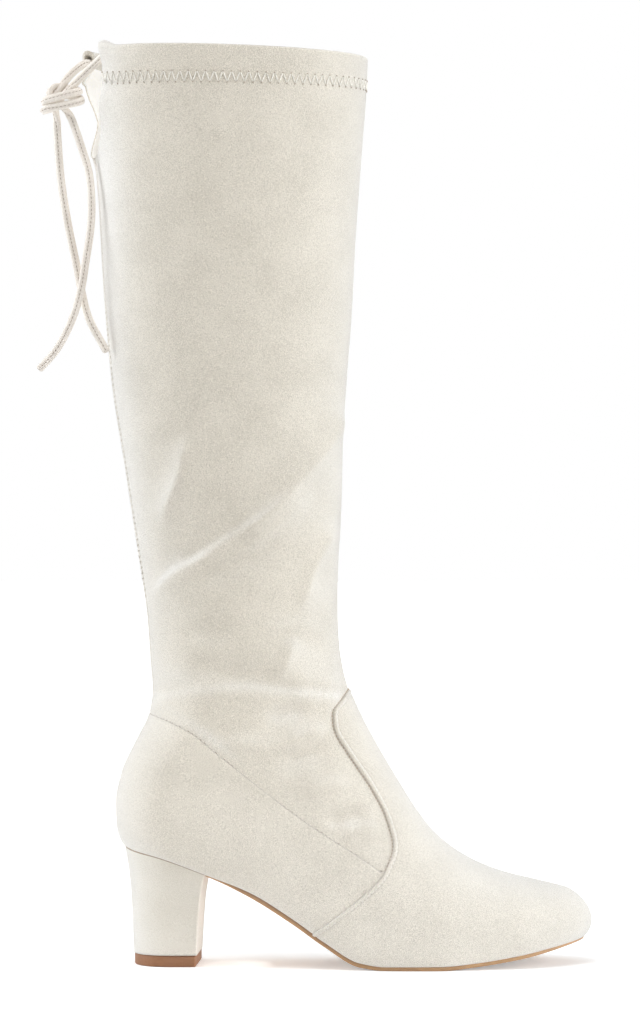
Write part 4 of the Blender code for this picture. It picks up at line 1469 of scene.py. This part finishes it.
@dataclass
class Panels:
    """Vamp and counter panels lapped over the upper."""

    skin: Skin
    vamp_line: SeamLine
    counter_line: SeamLine
    top_row: int = HEEL_ROW + 7
    vamp_profile: Points = (
        (0.0, -0.2), (0.06, 0.4), (0.2, 0.95), (0.5, 1.45), (0.95, 1.72), (1.4, 1.6), (1.8, 1.3), (2.1, 1.02),
        (2.4, 0.98), (2.9, 1.12), (4.0, 1.2),
    )
    counter_profile: Points = (
        (0.0, -0.2), (0.1, 0.18), (0.3, 0.42), (0.6, 0.6), (1.1, 0.73), (2.0, 0.8),
    )
    end_reach: float = 12.0
    end_drop: float = 0.6
    tuck: float = 1.6
    backing: float = 0.5
    lap: float = 0.15
    seam_line_width: float = 0.45
    counter_line_width: float = 0.75
    seam_end: float = 132.0
    seam_fade: float = 16.0
    seam_least: float = 0.15
    seam_gain: float = 0.25
    row_shade: float = 0.2
    row_inset: float = 2.25
    row_width: float = 0.3
    notch_mean: float = 0.75
    notch_depth: float = 0.25
    edge_most: float = 50.0
    edge_start: float = 0.02
    middle_gap: float = 0.5
    vamp_stitch: Stitching = Stitching(2.3, 1.7, 0.2, 0.12, inset=2.1)
    edge_stitch: Stitching = Stitching(1.8, 1.0, 0.42, 0.4)
    counter_stitch: Stitching = Stitching(2.6, 1.7, 0.34, 0.3)

    def sheet(self) -> Sheet:
        """Part of the skin that the panels are cut from."""
        skin = self.skin
        rows = skin.place.reshape(skin.rows, skin.columns)[:, 0] <= self.top_row
        grid = skin.grid[rows]
        used, index = np.unique(grid, return_inverse=True)
        faces = halves(quads(index.reshape(grid.shape)))
        points, normals = skin.points[used], skin.normals[used]
        faces = faces if self.faces_out(points, normals, faces) else faces[:, ::-1]
        vamp, vamp_along = self.vamp_line.measure(points)
        counter, counter_along = self.counter_line.measure(points)
        edge = np.where(skin.place < HEEL_ROW, np.minimum(*skin.from_row_ends()).reshape(-1), np.inf)
        low = np.minimum(skin.at_points(edge)[used], self.edge_most)
        fields = {"vamp": vamp, "vamp_along": vamp_along, "counter": counter, "counter_along": counter_along,
                  "edge": low}
        return Sheet(points, normals, faces, fields)

    @staticmethod
    def faces_out(points: Array, normals: Array, faces: Array) -> bool:
        """Whether the faces turn the way of the normals."""
        a, b, c = (points[faces[:, k]] for k in range(3))
        return bool((np.cross(b - a, c - a) * normals[faces[:, 0]]).sum() > 0.0)

    def raised(self, sheet: Sheet, name: str, profile: Points) -> Array:
        """Points of a sheet raised over the last by a profile from its seam."""
        inset, height = np.array(profile).T
        rise = np.interp(sheet.fields[name], inset, height)
        near_end = 1.0 - smooth(sheet.fields[name] / self.end_reach)
        first_end = 1.0 - smooth(sheet.fields[name + "_along"] / self.end_reach)
        rise *= 1.0 - near_end * self.end_drop * first_end
        tucked = rise * rounding(sheet.fields["edge"] + self.edge_start, self.tuck)
        rise = np.where(rise > 0.0, tucked, rise)
        return sheet.points + sheet.normals * rise[:, None]

    def piece(self, name: str, node: str, sheet: Sheet, points: Array, seam: Array, suede: Material) -> Piece:
        """Panel object with a backing.

        Args:
            name: the piece's name.
            node: the solid that it stands for.
            sheet: its faces.
            points: its raised points.
            seam: its seam shade.
            suede: its material.

        Returns:
            The piece.
        """
        item = make_object(name, points, sheet.faces, [suede], None, seam)
        wall = item.modifiers.new("backing", "SOLIDIFY")
        wall.thickness = self.backing * MM
        wall.offset = -1.0
        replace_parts(item, node)
        return item

    def build_vamp(self, suede: Material) -> tuple[Piece, Sheet, Array]:
        """Make the vamp panel with its folded edge."""
        sheet = self.sheet()
        for inset, _ in self.vamp_profile:
            sheet.split("vamp", inset)
        sheet.keep(sheet.fields["vamp"] >= -Sheet.SLACK)
        points = self.raised(sheet, "vamp", self.vamp_profile)
        inset, along = sheet.fields["vamp"], sheet.fields["vamp_along"]
        # Dark line along the vamp's folded edge: partly its seam line, partly painted shadow under the edge.
        strong = self.seam_least + self.seam_gain * smooth((self.seam_end - along) / self.seam_fade)
        seam = strong * smooth(1.0 - inset / self.seam_line_width)
        seam += self.row_shade * np.exp(-(((inset - self.row_inset) / self.row_width) ** 2))
        return self.piece("vamp", "vamp_panel", sheet, points, seam, suede), sheet, points

    def build_counter(self, suede: Material) -> tuple[Piece, Sheet, Array]:
        """Make the counter panel."""
        sheet = self.sheet()
        sheet.split("vamp", self.lap)
        for inset, _ in self.counter_profile:
            sheet.split("counter", inset)
        inside = sheet.fields["counter"] >= -Sheet.SLACK
        sheet.keep(inside & (sheet.fields["vamp"] <= self.lap + Sheet.SLACK))
        points = self.raised(sheet, "counter", self.counter_profile)
        wave = np.cos(sheet.fields["counter_along"] * FULL_TURN / self.counter_stitch.pitch)
        notched = self.notch_mean + self.notch_depth * wave
        seam = notched * smooth(1.0 - sheet.fields["counter"] / self.counter_line_width)
        return self.piece("counter", "counter_panel", sheet, points, seam, suede), sheet, points

    def seam_path(
        self, sheet: Sheet, points: Array, name: str, level: float, side: Side,
    ) -> tuple[Array, Array]:
        """Line on a panel at a distance from its seam, on one side of the boot.

        Args:
            sheet: the panel's sheet.
            points: its raised points.
            name: the seam's field.
            level: the distance.
            side: lateral or medial.

        Returns:
            Points and normals in order along the seam.
        """
        on_line = np.abs(sheet.fields[name] - level) < Sheet.SLACK
        on_line &= sheet.points[:, 1] * side.value > self.middle_gap
        order = np.argsort(sheet.fields[name + "_along"][on_line])
        return points[on_line][order], sheet.normals[on_line][order]

    def stitch(
        self, name: str, sheet: Sheet, points: Array, seam: str, how: Stitching, thread: Material,
    ) -> Piece:
        """Row of stitches on both sides of the boot.

        Args:
            name: the piece's name.
            sheet: the panel's sheet.
            points: its raised points.
            seam: the seam's field.
            how: the stitches' sizes.
            thread: their material.

        Returns:
            The piece.
        """
        lines = [self.seam_path(sheet, points, seam, how.inset, side) for side in Side]
        return how.sew(name, lines, thread, "suede")


@dataclass
class HemStitch:
    """Zigzag row under the hem and the stitched back seam."""

    skin: Skin
    top: float = 15.1
    bottom: float = 20.0
    pitch: float = 4.4
    radius: float = 0.3
    margin: float = 0.012
    rim_row: float = 0.2
    rim_steps: int = 2000
    thread_ends: tuple[float, float] = (0.08, 0.92)
    thread_steps: int = 6
    rise: float = 0.06
    sunk: float = 0.15
    front_rise: float = 2.0
    front_power: int = 4
    dot_radius: float = 0.32
    dot_rise: float = 0.2
    dot_sides: int = 8
    middle: ClassVar[float] = 17.5
    back_stitch: Stitching = Stitching(2.9, 1.2, 0.15, 0.06)
    back_offset: float = 0.0045
    back_rows: tuple[float, float] = (8.2, 11.8)
    back_steps: int = 400
    surface_step: float = 0.002

    def surface(self, place: Array, turn: Array) -> tuple[Array, Array]:
        """Points and normals of the last at places and turns."""
        last = self.skin.last
        step = self.surface_step
        here = last.skin(place, turn)
        up = last.skin(place + step, turn) - last.skin(place - step, turn)
        round_ = last.skin(place, turn + step) - last.skin(place, turn - step)
        return here, unit(np.cross(up, round_))

    def corners(self) -> tuple[Array, Array]:
        """Turns and depths below the rim of the zigzag's corners."""
        turns = np.linspace(self.margin, 1.0 - self.margin, self.rim_steps)
        arc = lengths_along(self.skin.last.skin(np.full(len(turns), HEM_ROW + self.rim_row), turns))
        count = 2 * int(arc[-1] / self.pitch)
        turn = np.interp(np.linspace(0.0, arc[-1], count + 1), arc, turns)
        depth = np.where(np.arange(count + 1) % 2 == 0, self.top, self.bottom)
        return turn, depth - self.front_rise * np.sin(math.pi * turn) ** self.front_power

    def place_below_rim(self, down: Array) -> Array:
        """Places at depths below the rim."""
        table = self.skin.last.table
        return TOP_ROW - down / (table[TOP_ROW, Column.BACK_Z] - table[HEM_ROW, Column.BACK_Z])

    def zigzag(self, thread: Material, hole: Material) -> Piece:
        """Make the zigzag row round the collar, with dark dots painted for the shade in its needle holes.

        Args:
            thread: the thread's material.
            hole: the material of the dots, painted shade.

        Returns:
            The piece.
        """
        corner, depth = self.corners()
        share = np.linspace(*self.thread_ends, self.thread_steps)
        turn = corner[:-1, None] + share * np.diff(corner)[:, None]
        down = depth[:-1, None] + share * np.diff(depth)[:, None]
        points, normals = self.surface(self.place_below_rim(down).reshape(-1), turn.reshape(-1))
        arch = (self.rise * np.sin(np.linspace(0.0, math.pi, len(share))) - self.sunk)[None, :, None]
        paths = points.reshape(*turn.shape, 3) + normals.reshape(*turn.shape, 3) * arch
        sewn, faces = threads(paths, normals.reshape(paths.shape), self.radius)
        spots, out = self.surface(self.place_below_rim(depth), corner)
        dots, dot_faces = self.dots(spots - out * self.sunk, out)
        both = np.vstack([sewn, dots])
        slots = np.concatenate([np.zeros(len(faces), int), np.ones(len(dot_faces), int)])
        faces = faces + [[k + len(sewn) for k in face] for face in dot_faces]
        return make_object("hem_zigzag", both, faces, [thread, hole], slots)

    def dots(self, spots: Array, out: Array) -> tuple[Array, list]:
        """Small domed dots on a surface.

        Args:
            spots: their middles.
            out: the surface's normals.

        Returns:
            Points and faces.
        """
        across = unit(np.cross(out, np.array([0.0, 0.0, 1.0])))
        up = np.cross(out, across)
        angle = np.arange(self.dot_sides) * FULL_TURN / self.dot_sides
        ring = np.cos(angle)[:, None] * across[:, None, :] + np.sin(angle)[:, None] * up[:, None, :]
        top = spots[:, None, :] + ring * self.dot_radius + out[:, None, :] * self.dot_rise
        low = spots[:, None, :] + ring * self.dot_radius - out[:, None, :] * self.dot_rise
        rings = np.concatenate([low, top], axis=1)
        return rings.reshape(-1, 3), tube_faces(len(spots), 2, self.dot_sides)

    def back_seam(self, thread: Material) -> Piece:
        """Make the rows of stitches beside the back seam."""
        first, last = self.back_rows
        place = np.linspace(HEEL_ROW + first, HEEL_ROW + last, self.back_steps)
        turns = (self.back_offset, 1.0 - self.back_offset)
        lines = [self.surface(place, np.full(len(place), turn)) for turn in turns]
        return self.back_stitch.sew("back_seam_stitches", lines, thread, "suede")


@dataclass
class Sole:
    """Outsole and insole."""

    last: Last
    gap: float = 0.3
    inset: float = 0.4
    thick: float = 2.3
    thin_at_breast: float = 1.0
    waist_drop: float = 1.0
    tip_reach: float = 2.2
    tip_rise: float = 0.5
    tip_taper: float = 0.4
    breast_x: float = 46.4
    waist_rise: float = 26.0
    waist_end_x: float = 140.0
    waist_fade: float = 30.0
    tip_start_x: float = 214.0
    tip_length: float = 27.0
    line_height: float = 0.5
    line_shade: float = 0.8
    edge_round: float = 0.45
    round_share: float = 0.4
    round_steps: int = 4
    wall: float = 1.6
    insole_thick: float = 2.0
    rows: int = 150
    across: int = 14

    def places(self, inset: float, end_x: float) -> Array:
        """Places of a piece's rings, crowded at the toe."""
        first, last = self.last.sole_place(np.array([TIP.sole_x - inset, end_x]))
        share = np.linspace(0.0, 1.0, self.rows)
        return first + (last - first) * share**2

    def rings(self, place: Array, half: Array, low: Array, high: Array) -> Array:
        """Rings of a flat-lying piece with softened edges.

        Args:
            place: places along the foot.
            half: half widths.
            low: heights of its underside.
            high: heights of its top.

        Returns:
            Rings by points by 3.
        """
        row = self.last.at(place).T
        depth = high - low
        radius = np.minimum(self.edge_round, depth * self.round_share)
        turn = np.linspace(0.0, math.pi / 2.0, self.round_steps)
        rings = []
        for side in (1.0, -1.0):
            for top in (True, False) if side > 0 else (False, True):
                angles = turn[::-1] if (side > 0) == top else turn
                for angle in angles:
                    inward = np.minimum(radius * (1.0 - math.cos(angle)), half)
                    drop = radius * (1.0 - math.sin(angle))
                    y = row[Column.SWING] + side * (half - inward)
                    z = row[Column.BACK_Z] + (high - drop if top else low + drop)
                    rings.append(np.stack([row[Column.BACK_X], y, z], axis=1))
        return np.stack(rings, axis=1)

    def build_outsole(self, tan: Material) -> Piece:
        """Make the outsole from the toe to the heel breast."""
        place = self.places(self.inset, self.breast_x + self.gap)
        x = self.last.at(place)[:, Column.BACK_X]
        grown = smooth((x - self.breast_x) / self.last.toe_round)
        thick = self.thin_at_breast + (self.thick - self.thin_at_breast) * grown
        waist = smooth((x - self.breast_x) / self.waist_rise)
        waist *= smooth((self.waist_end_x - x) / self.waist_fade)
        tip = smooth((x - self.tip_start_x) / self.tip_length)
        thick = (thick + self.waist_drop * waist) * (1.0 - self.tip_taper * tip)
        half = self.last.sole_half(place, self.inset)
        high = np.full(len(place), -self.gap)
        rings = self.rings(place, half, high - thick, high)
        rings[:, :, 0] += (self.tip_reach * tip)[:, None]
        rings[:, :, 2] += (self.tip_rise * tip)[:, None]
        top = self.last.at(place)[:, Column.BACK_Z] + self.tip_rise * tip - self.gap
        line = self.line_height + self.waist_drop * waist
        seam = self.line_shade * smooth(1.0 - (top[:, None] - rings[:, :, 2]) / line[:, None])
        return solid("outsole_edge_and_tread", "outsole", rings, [tan], None, seam.reshape(-1))

    def build_insole(self, lining: Material) -> Piece:
        """Make the insole board with its cover."""
        inset = self.wall + self.gap
        place = self.places(inset, HEEL_BACK.sole_x + inset)
        half = self.last.sole_half(place, inset)
        low = np.zeros(len(place))
        rings = self.rings(place, half, low, low + self.insole_thick)
        return solid("insole_cover", "insole", rings, [lining])


@dataclass
class HeelBlock:
    """Covered heel block and its top lift."""

    last: Last
    gap: float = 0.3
    lift_height: float = 5.7
    seat_drop: float = 0.45
    rows: tuple[Heel, ...] = (
        Heel(0.00, 9.0, 42.0, 21.6, 18.0), Heel(0.35, 8.2, 42.8, 22.2, 18.5),
        Heel(0.65, 7.2, 43.8, 23.4, 19.5), Heel(0.84, 5.8, 45.0, 25.0, 21.0),
        Heel(1.00, 4.2, 46.4, 26.6, 23.6),
    )
    lift: Heel = Heel(0.0, 9.4, 41.6, 21.2, 18.0)
    corner_round: float = 1.2
    breast_skew: float = 2.0
    edge_round: float = 0.7
    top_round_share: float = 0.4
    round_steps: int = 4
    turn_steps: int = 24
    corner_steps: int = 6
    straight_steps: int = 6
    breast_steps: int = 10
    height_steps: int = 44
    last_ring: float = 0.986
    foot_shade: float = 0.3

    def outline(self, row: Heel, inset: float = 0.0) -> Array:
        """Plan outline at one height: points x, y with rounded breast corners.

        Args:
            row: the outline's sizes.
            inset: how far it is drawn in.

        Returns:
            Points round the outline.
        """
        turn = np.linspace(0.0, math.pi / 2.0, self.turn_steps + 1)
        half = row.half - inset
        x = row.back + inset + (row.round - inset) * (1.0 - np.sin(turn))
        back = np.stack([x, -half * np.cos(turn)], axis=1)
        corner = np.linspace(0.0, math.pi / 2.0, self.corner_steps)
        radius = self.corner_round
        middle = np.array([row.breast - inset - radius, -(half - radius)])
        front = middle + radius * np.stack([np.cos(corner), -np.sin(corner)], axis=1)
        straight = np.linspace(front[-1], back[0], self.straight_steps)[1:-1]
        near = np.vstack([front, straight, back])
        far = near[::-1][1:] * np.array([1.0, -1.0])
        breast = np.linspace(far[-1], near[0], self.breast_steps)[1:-1]
        plan = np.vstack([near, far, breast])
        ahead = smooth((plan[:, 0] - row.back) / (row.breast - row.back))
        plan[:, 0] += self.breast_skew * ahead * (plan[:, 1] + half) / (2.0 * half)
        return plan

    def build_block(self, suede: Material, edge: Material) -> Piece:
        """Make the covered block.

        Args:
            suede: its cover.
            edge: the line where the cover is tucked in at the seat.

        Returns:
            The piece.
        """
        foot = self.lift_height + self.gap
        table = np.array([row[1:] for row in self.rows])
        shares = np.array([row.share for row in self.rows])
        heights = np.append(np.linspace(0.0, self.last_ring, self.height_steps - 1), 1.0)
        places = np.interp(heights, shares, np.arange(len(shares)))
        sizes = eased(table, places)
        rings = []
        for share, size in zip(heights, sizes):
            plan = self.outline(Heel(share, *size))
            seat_x = np.clip(plan[:, 0], HEEL_BACK.sole_x, self.rows[-1].breast)
            seat = self.last.at(self.last.sole_place(seat_x))[:, Column.BACK_Z] - self.seat_drop
            rings.append(np.column_stack([plan, foot + share * (seat - foot)]))
        rings = np.array(rings)
        bands = np.zeros((len(rings) - 1, rings.shape[1]), int)
        bands[-1] = 1
        slots = np.append(bands, [0, 0])
        seam = np.zeros(rings.shape[:2])
        seam[0] = self.foot_shade
        return solid("covered_heel", "heel_block", rings, [suede, edge], slots, seam.reshape(-1))

    def build_lift(self, brown: Material) -> Piece:
        """Make the wear piece under the block."""
        turn = np.linspace(0.0, math.pi / 2.0, self.round_steps)
        radius, less = self.edge_round, self.top_round_share
        low = [(radius * (1.0 - math.sin(t)), radius * (1.0 - math.cos(t))) for t in turn]
        high = [(inset * less, self.lift_height - height * less) for inset, height in low[::-1]]
        rings = []
        for inset, height in [*low, (0.0, self.lift_height / 2.0), *high]:
            plan = self.outline(self.lift, inset)
            rings.append(np.column_stack([plan, np.full(len(plan), height)]))
        return solid("top_lift", "heel_top_lift", np.array(rings), [brown])


LATERAL_ROUTE = (
    (0.6, -24.0, 469.5), (-2.6, -20.9, 469.5), (-4.5, -18.5, 469.5), (-6.6, -16.2, 469.2),
    (-12.0, -13.5, 464.8), (-17.5, -11.5, 459.8), (-23.0, -9.5, 454.6), (-26.8, -9.6, 450.6),
    (-30.5, -9.4, 446.0), (-35.2, -9.6, 442.6), (-37.6, -11.8, 442.0), (-35.8, -14.4, 442.9),
    (-30.0, -15.2, 444.0), (-23.0, -14.6, 445.4), (-18.6, -11.8, 446.9), (-18.0, -7.4, 448.2),
    (-21.0, -3.6, 449.8), (-27.5, -2.8, 451.0), (-33.0, -4.2, 451.2), (-34.6, -7.0, 449.2),
    (-31.0, -8.8, 446.4), (-27.0, -8.8, 443.6), (-24.2, -8.5, 440.2), (-17.9, -11.0, 423.4),
    (-13.8, -14.0, 409.4), (-12.3, -16.5, 392.6), (-12.9, -17.5, 379.6), (-15.2, -18.5, 363.9),
    (-17.8, -19.0, 348.2), (-22.3, -19.0, 333.5), (-30.4, -18.5, 318.1), (-39.5, -18.0, 307.8),
)
MEDIAL_ROUTE = (
    (-11.8, 12.6, 468.5), (-13.7, 9.2, 468.5), (-15.5, 5.8, 468.4), (-16.9, 3.2, 468.0),
    (-20.5, 0.0, 465.2), (-24.5, -3.0, 461.0), (-28.0, -6.1, 455.8), (-30.4, -8.4, 451.6),
    (-33.2, -9.6, 448.6), (-36.6, -11.2, 446.6), (-37.2, -13.4, 446.6), (-35.0, -15.4, 447.4),
    (-29.2, -16.0, 448.9), (-23.0, -14.8, 450.7), (-19.2, -11.6, 452.0), (-19.6, -7.4, 453.0),
    (-23.6, -4.2, 454.2), (-28.4, -4.8, 455.2), (-32.2, -7.0, 454.8), (-34.4, -9.6, 452.0),
    (-33.6, -10.8, 448.0), (-31.8, -9.4, 444.0), (-31.0, -8.5, 440.1), (-30.3, -8.8, 428.0),
    (-28.5, -9.5, 406.4), (-24.9, -10.0, 383.8), (-20.1, -11.0, 360.7), (-17.7, -12.5, 348.7),
    (-13.9, -14.5, 334.7), (-4.4, -17.0, 317.0),
)


@dataclass
class Drawcord:
    """Folded and stitched cord through the hem, tied once at the notch."""

    width: float = 4.1
    depth: float = 3.2
    spacing: float = 0.8
    sides: int = 28
    groove: float = 0.28
    groove_width: float = 0.42
    groove_shade: float = 0.2
    knot: tuple[float, float, float] = (-28.0, -8.5, 447.4)
    knot_reach: float = 17.0
    knot_gain: float = 1.6
    smooth_points: int = 15
    squareness: float = 0.85
    shade_width: float = 0.35
    end_start: float = 0.25
    end_step: float = 0.5
    stitch: Stitching = Stitching(2.1, 1.35, 0.22, 0.04)

    def facing(self, path: Array) -> tuple[Array, Array, Array]:
        """Directions along, out of and across the cord's stitched face.

        Args:
            path: points along the cord.

        Returns:
            Tangents, face normals and side directions.
        """
        along = unit(np.gradient(path, axis=0))
        from_knot = path - np.array(self.knot)
        near = 1.0 - np.linalg.norm(from_knot, axis=1) / self.knot_reach
        share = smooth(self.knot_gain * near)[:, None]
        out = unit(from_knot) * share + np.array([0.0, -1.0, 0.0]) * (1.0 - share)
        kernel = np.hanning(self.smooth_points)
        kernel /= kernel.sum()
        pad = self.smooth_points // 2
        padded = np.pad(out, ((pad, pad), (0, 0)), mode="edge")
        out = np.stack([np.convolve(padded[:, k], kernel, mode="valid") for k in range(3)], axis=1)
        out = unit(out - (out * along).sum(axis=1, keepdims=True) * along)
        return along, out, np.cross(along, out)

    def build(self, name: str, route: tuple, nodes: tuple[str, ...], suede: Material,
              thread: Material) -> Piece:
        """Make one cord and its stitches.

        Args:
            name: the piece's name.
            route: its own points.
            nodes: the solids that it stands for.
            suede: its material.
            thread: its stitches' material.

        Returns:
            The cord.
        """
        path = smooth_path(np.array(route, float), self.spacing)
        _, out, across = self.facing(path)
        angle = np.arange(self.sides) * FULL_TURN / self.sides
        side, face = (size / 2.0 * np.sign(wave) * np.abs(wave) ** self.squareness
                      for size, wave in ((self.width, np.sin(angle)), (self.depth, np.cos(angle))))
        dent = self.groove * np.exp(-((side / self.groove_width) ** 2)) * (face > 0.0)
        shrink = rounding(self.end_start + from_ends(len(path)) * self.end_step, 1.0)[:, None, None]
        rings = path[:, None, :] + shrink * (
            side[None, :, None] * across[:, None, :] + (face - dent)[None, :, None] * out[:, None, :]
        )
        shade = self.groove_shade * np.exp(-((side / self.shade_width) ** 2)) * (face > 0.0)
        item = make_object(name, *loft(rings), [suede], None, np.tile(shade, len(path)))
        outward(item)
        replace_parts(item, *nodes)
        line = path + out * (self.depth / 2.0 - self.groove)
        sewn = self.stitch.sew(name + "_stitches", [(line, out)], thread, "cord")
        return item


@dataclass
class Studio:
    """Camera, pale floor and soft light."""

    frame_height: float = 0.53248
    distance: float = 2.2
    aim_x: float = 105.6
    aim_z: float = 234.5
    sensor: float = 36.0
    floor_half: float = 12.0
    floor_colour: Colour = (0.86, 0.86, 0.86)
    floor_roughness: float = 0.9
    floor_reach: tuple[float, float] = (0.25, 1.4)
    floor_lift: tuple[float, float] = (0.34, 0.9)
    backdrop: float = 1.0
    fill: float = 0.155
    glow: float = 0.34
    world_reach: tuple[float, float] = (-1.0, 0.6)
    side_tint: Colour = (0.91, 0.955, 1.0)

    def build(self) -> None:
        """Make all of it."""
        self.camera()
        self.floor()
        self.world()
        self.softbox("top", (-0.2, -0.5, 1.8), (0.0, 0.0, 0.2), 0.8, 12.0)
        self.softbox("left", (-1.6, -0.02, 0.75), (0.0, 0.0, 0.25), 1.0, 18.0, tint=self.side_tint)
        self.softbox("right", (1.6, -0.4, 0.56), (0.0, 0.0, 0.2), 1.0, 19.5, tint=self.side_tint)
        self.softbox("low_right", (0.9, -1.1, 0.2), (0.0, 0.0, 0.05), 0.6, 3.0)
        self.softbox("back", (-1.0, 1.2, 0.9), (-0.1, 0.0, 0.4), 1.0, 4.5)
        self.softbox("shaft", (-0.02, -1.3, 0.5), (-0.02, 0.0, 0.42), 0.5, 0.085, 50.0)
        self.softbox("foot", (-0.1, -1.2, 0.05), (-0.02, 0.0, 0.0), 0.3, 0.05, 17.0)
        self.softbox("heel_breast", (-0.025, -0.005, 0.016), (-0.07, -0.005, 0.03), 0.025, 0.012, 130.0)
        bpy.context.scene.view_settings.view_transform = "Standard"

    def camera(self) -> None:
        """Level camera square to the boot's lateral side."""
        data = bpy.data.cameras.new("camera")
        data.sensor_width = self.sensor
        data.lens = self.sensor * self.distance / self.frame_height
        item = bpy.data.objects.new("camera", data)
        item.location = ((self.aim_x - ORIGIN_X) * MM, -self.distance, self.aim_z * MM)
        item.rotation_euler = (math.pi / 2.0, 0.0, 0.0)
        bpy.context.scene.collection.objects.link(item)
        bpy.context.scene.camera = item

    def floor(self) -> None:
        """Wide white floor."""
        half = self.floor_half
        mesh = bpy.data.meshes.new("floor")
        corners = [(-half, -half, 0.0), (half, -half, 0.0), (half, half, 0.0), (-half, half, 0.0)]
        mesh.from_pydata(corners, [], [(0, 1, 2, 3)])
        made, graph, principled = shader("white_floor")
        principled.inputs["Base Color"].default_value = opaque(self.floor_colour)
        principled.inputs["Roughness"].default_value = self.floor_roughness
        principled.inputs["Emission Color"].default_value = WHITE
        spot = graph.add("ShaderNodeTexCoord").outputs["Object"]
        away = graph.add("ShaderNodeVectorMath", {0: spot}, operation="LENGTH").outputs["Value"]
        lift = graph.ramp(away, self.floor_reach, self.floor_lift)
        seen = graph.add("ShaderNodeLightPath").outputs["Is Camera Ray"]
        graph.tree.links.new(graph.math("MULTIPLY", seen, lift), principled.inputs["Emission Strength"])
        mesh.materials.append(made)
        item = bpy.data.objects.new("floor", mesh)
        bpy.context.scene.collection.objects.link(item)

    def world(self) -> None:
        """White surround that lights less from the camera's side."""
        made = bpy.data.worlds.new("studio")
        made.use_nodes = True
        bpy.context.scene.world = made
        graph = Graph(made.node_tree)
        made.node_tree.nodes.clear()
        towards = graph.add("ShaderNodeTexCoord").outputs["Generated"]
        depth = graph.add("ShaderNodeSeparateXYZ", {0: towards}).outputs["Y"]
        level = graph.ramp(depth, self.world_reach, (self.fill, self.fill + self.glow))
        light, shown = (graph.add("ShaderNodeBackground", {"Color": WHITE, "Strength": strength})
                        for strength in (level, self.backdrop))
        seen = graph.add("ShaderNodeLightPath").outputs["Is Camera Ray"]
        mixed = graph.add("ShaderNodeMixShader", {0: seen, 1: light.outputs[0], 2: shown.outputs[0]})
        graph.add("ShaderNodeOutputWorld", {"Surface": mixed.outputs[0]})

    def softbox(self, name: str, spot: tuple, target: tuple, size: float, power: float, spread: float = 180.0,
                tint: Colour = WHITE[:3]) -> None:
        """Square soft light.

        Args:
            name: its name.
            spot: where it hangs.
            target: what it faces.
            size: its side in metres.
            power: its power in watts.
            spread: the angle of its beam in degrees.
            tint: its colour.
        """
        data = bpy.data.lights.new(name, "AREA")
        data.size = size
        data.energy = power
        data.color = tint
        data.spread = math.radians(spread)
        item = bpy.data.objects.new(name, data)
        item.location = spot
        item.rotation_euler = (Vector(target) - Vector(spot)).to_track_quat("-Z", "Y").to_euler()
        item.visible_camera = False
        bpy.context.scene.collection.objects.link(item)


def main() -> None:
    """Build the boot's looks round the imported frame."""
    logging.basicConfig(level=logging.INFO, format="%(name)s: %(message)s")
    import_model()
    effects = Effects()
    look = {finish: finish.material(effects) for finish in FINISHES}

    Studio().build()
    cord = Drawcord()
    strands = (
        ("drawcord_lateral", LATERAL_ROUTE,
         ("drawcord_lateral_strand", "drawcord_knot", "drawcord_front_end")),
        ("drawcord_medial", MEDIAL_ROUTE, ("drawcord_medial_strand", "drawcord_back_end")),
    )
    for name, route, nodes in strands:
        cord.build(name, route, nodes, look[CORD_SUEDE], look[SUNKEN_THREAD])

    last = Last()
    skin = Skin(last)
    vamp_line, counter_line = SeamLine(VAMP_SEAM, 1.0), SeamLine(COUNTER_SEAM, -1.0)
    upper = Upper(skin, vamp_line, counter_line)
    made = [upper.build(look[SUEDE], look[LINING])]
    panels = Panels(skin, vamp_line, counter_line)
    vamp, vamp_sheet, vamp_points = panels.build_vamp(look[SUEDE])
    counter, counter_sheet, counter_points = panels.build_counter(look[SUEDE])
    made += [vamp, counter]
    rows = (
        ("vamp_stitches", vamp_sheet, vamp_points, "vamp", panels.vamp_stitch, THREAD),
        ("vamp_edge_stitches", vamp_sheet, vamp_points, "vamp", panels.edge_stitch, EDGE_THREAD),
        ("counter_stitches", counter_sheet, counter_points, "counter", panels.counter_stitch, SUNKEN_THREAD),
    )
    made += [panels.stitch(*row, look[thread]) for *row, thread in rows]
    hem = HemStitch(skin)
    made += [hem.zigzag(look[THREAD], look[NEEDLE_HOLE_SHADE]), hem.back_seam(look[SEAM_THREAD])]
    sole = Sole(last)
    made += [sole.build_outsole(look[OUTSOLE_TAN]), sole.build_insole(look[LINING])]
    heel = HeelBlock(last)
    made += [heel.build_block(look[HEEL_SUEDE], look[SEAT_EDGE]), heel.build_lift(look[LIFT_BROWN])]
    for item in made:
        LOG.info("%s has %d faces", item.name, len(item.data.polygons))


if __name__ == "__main__":
    main()
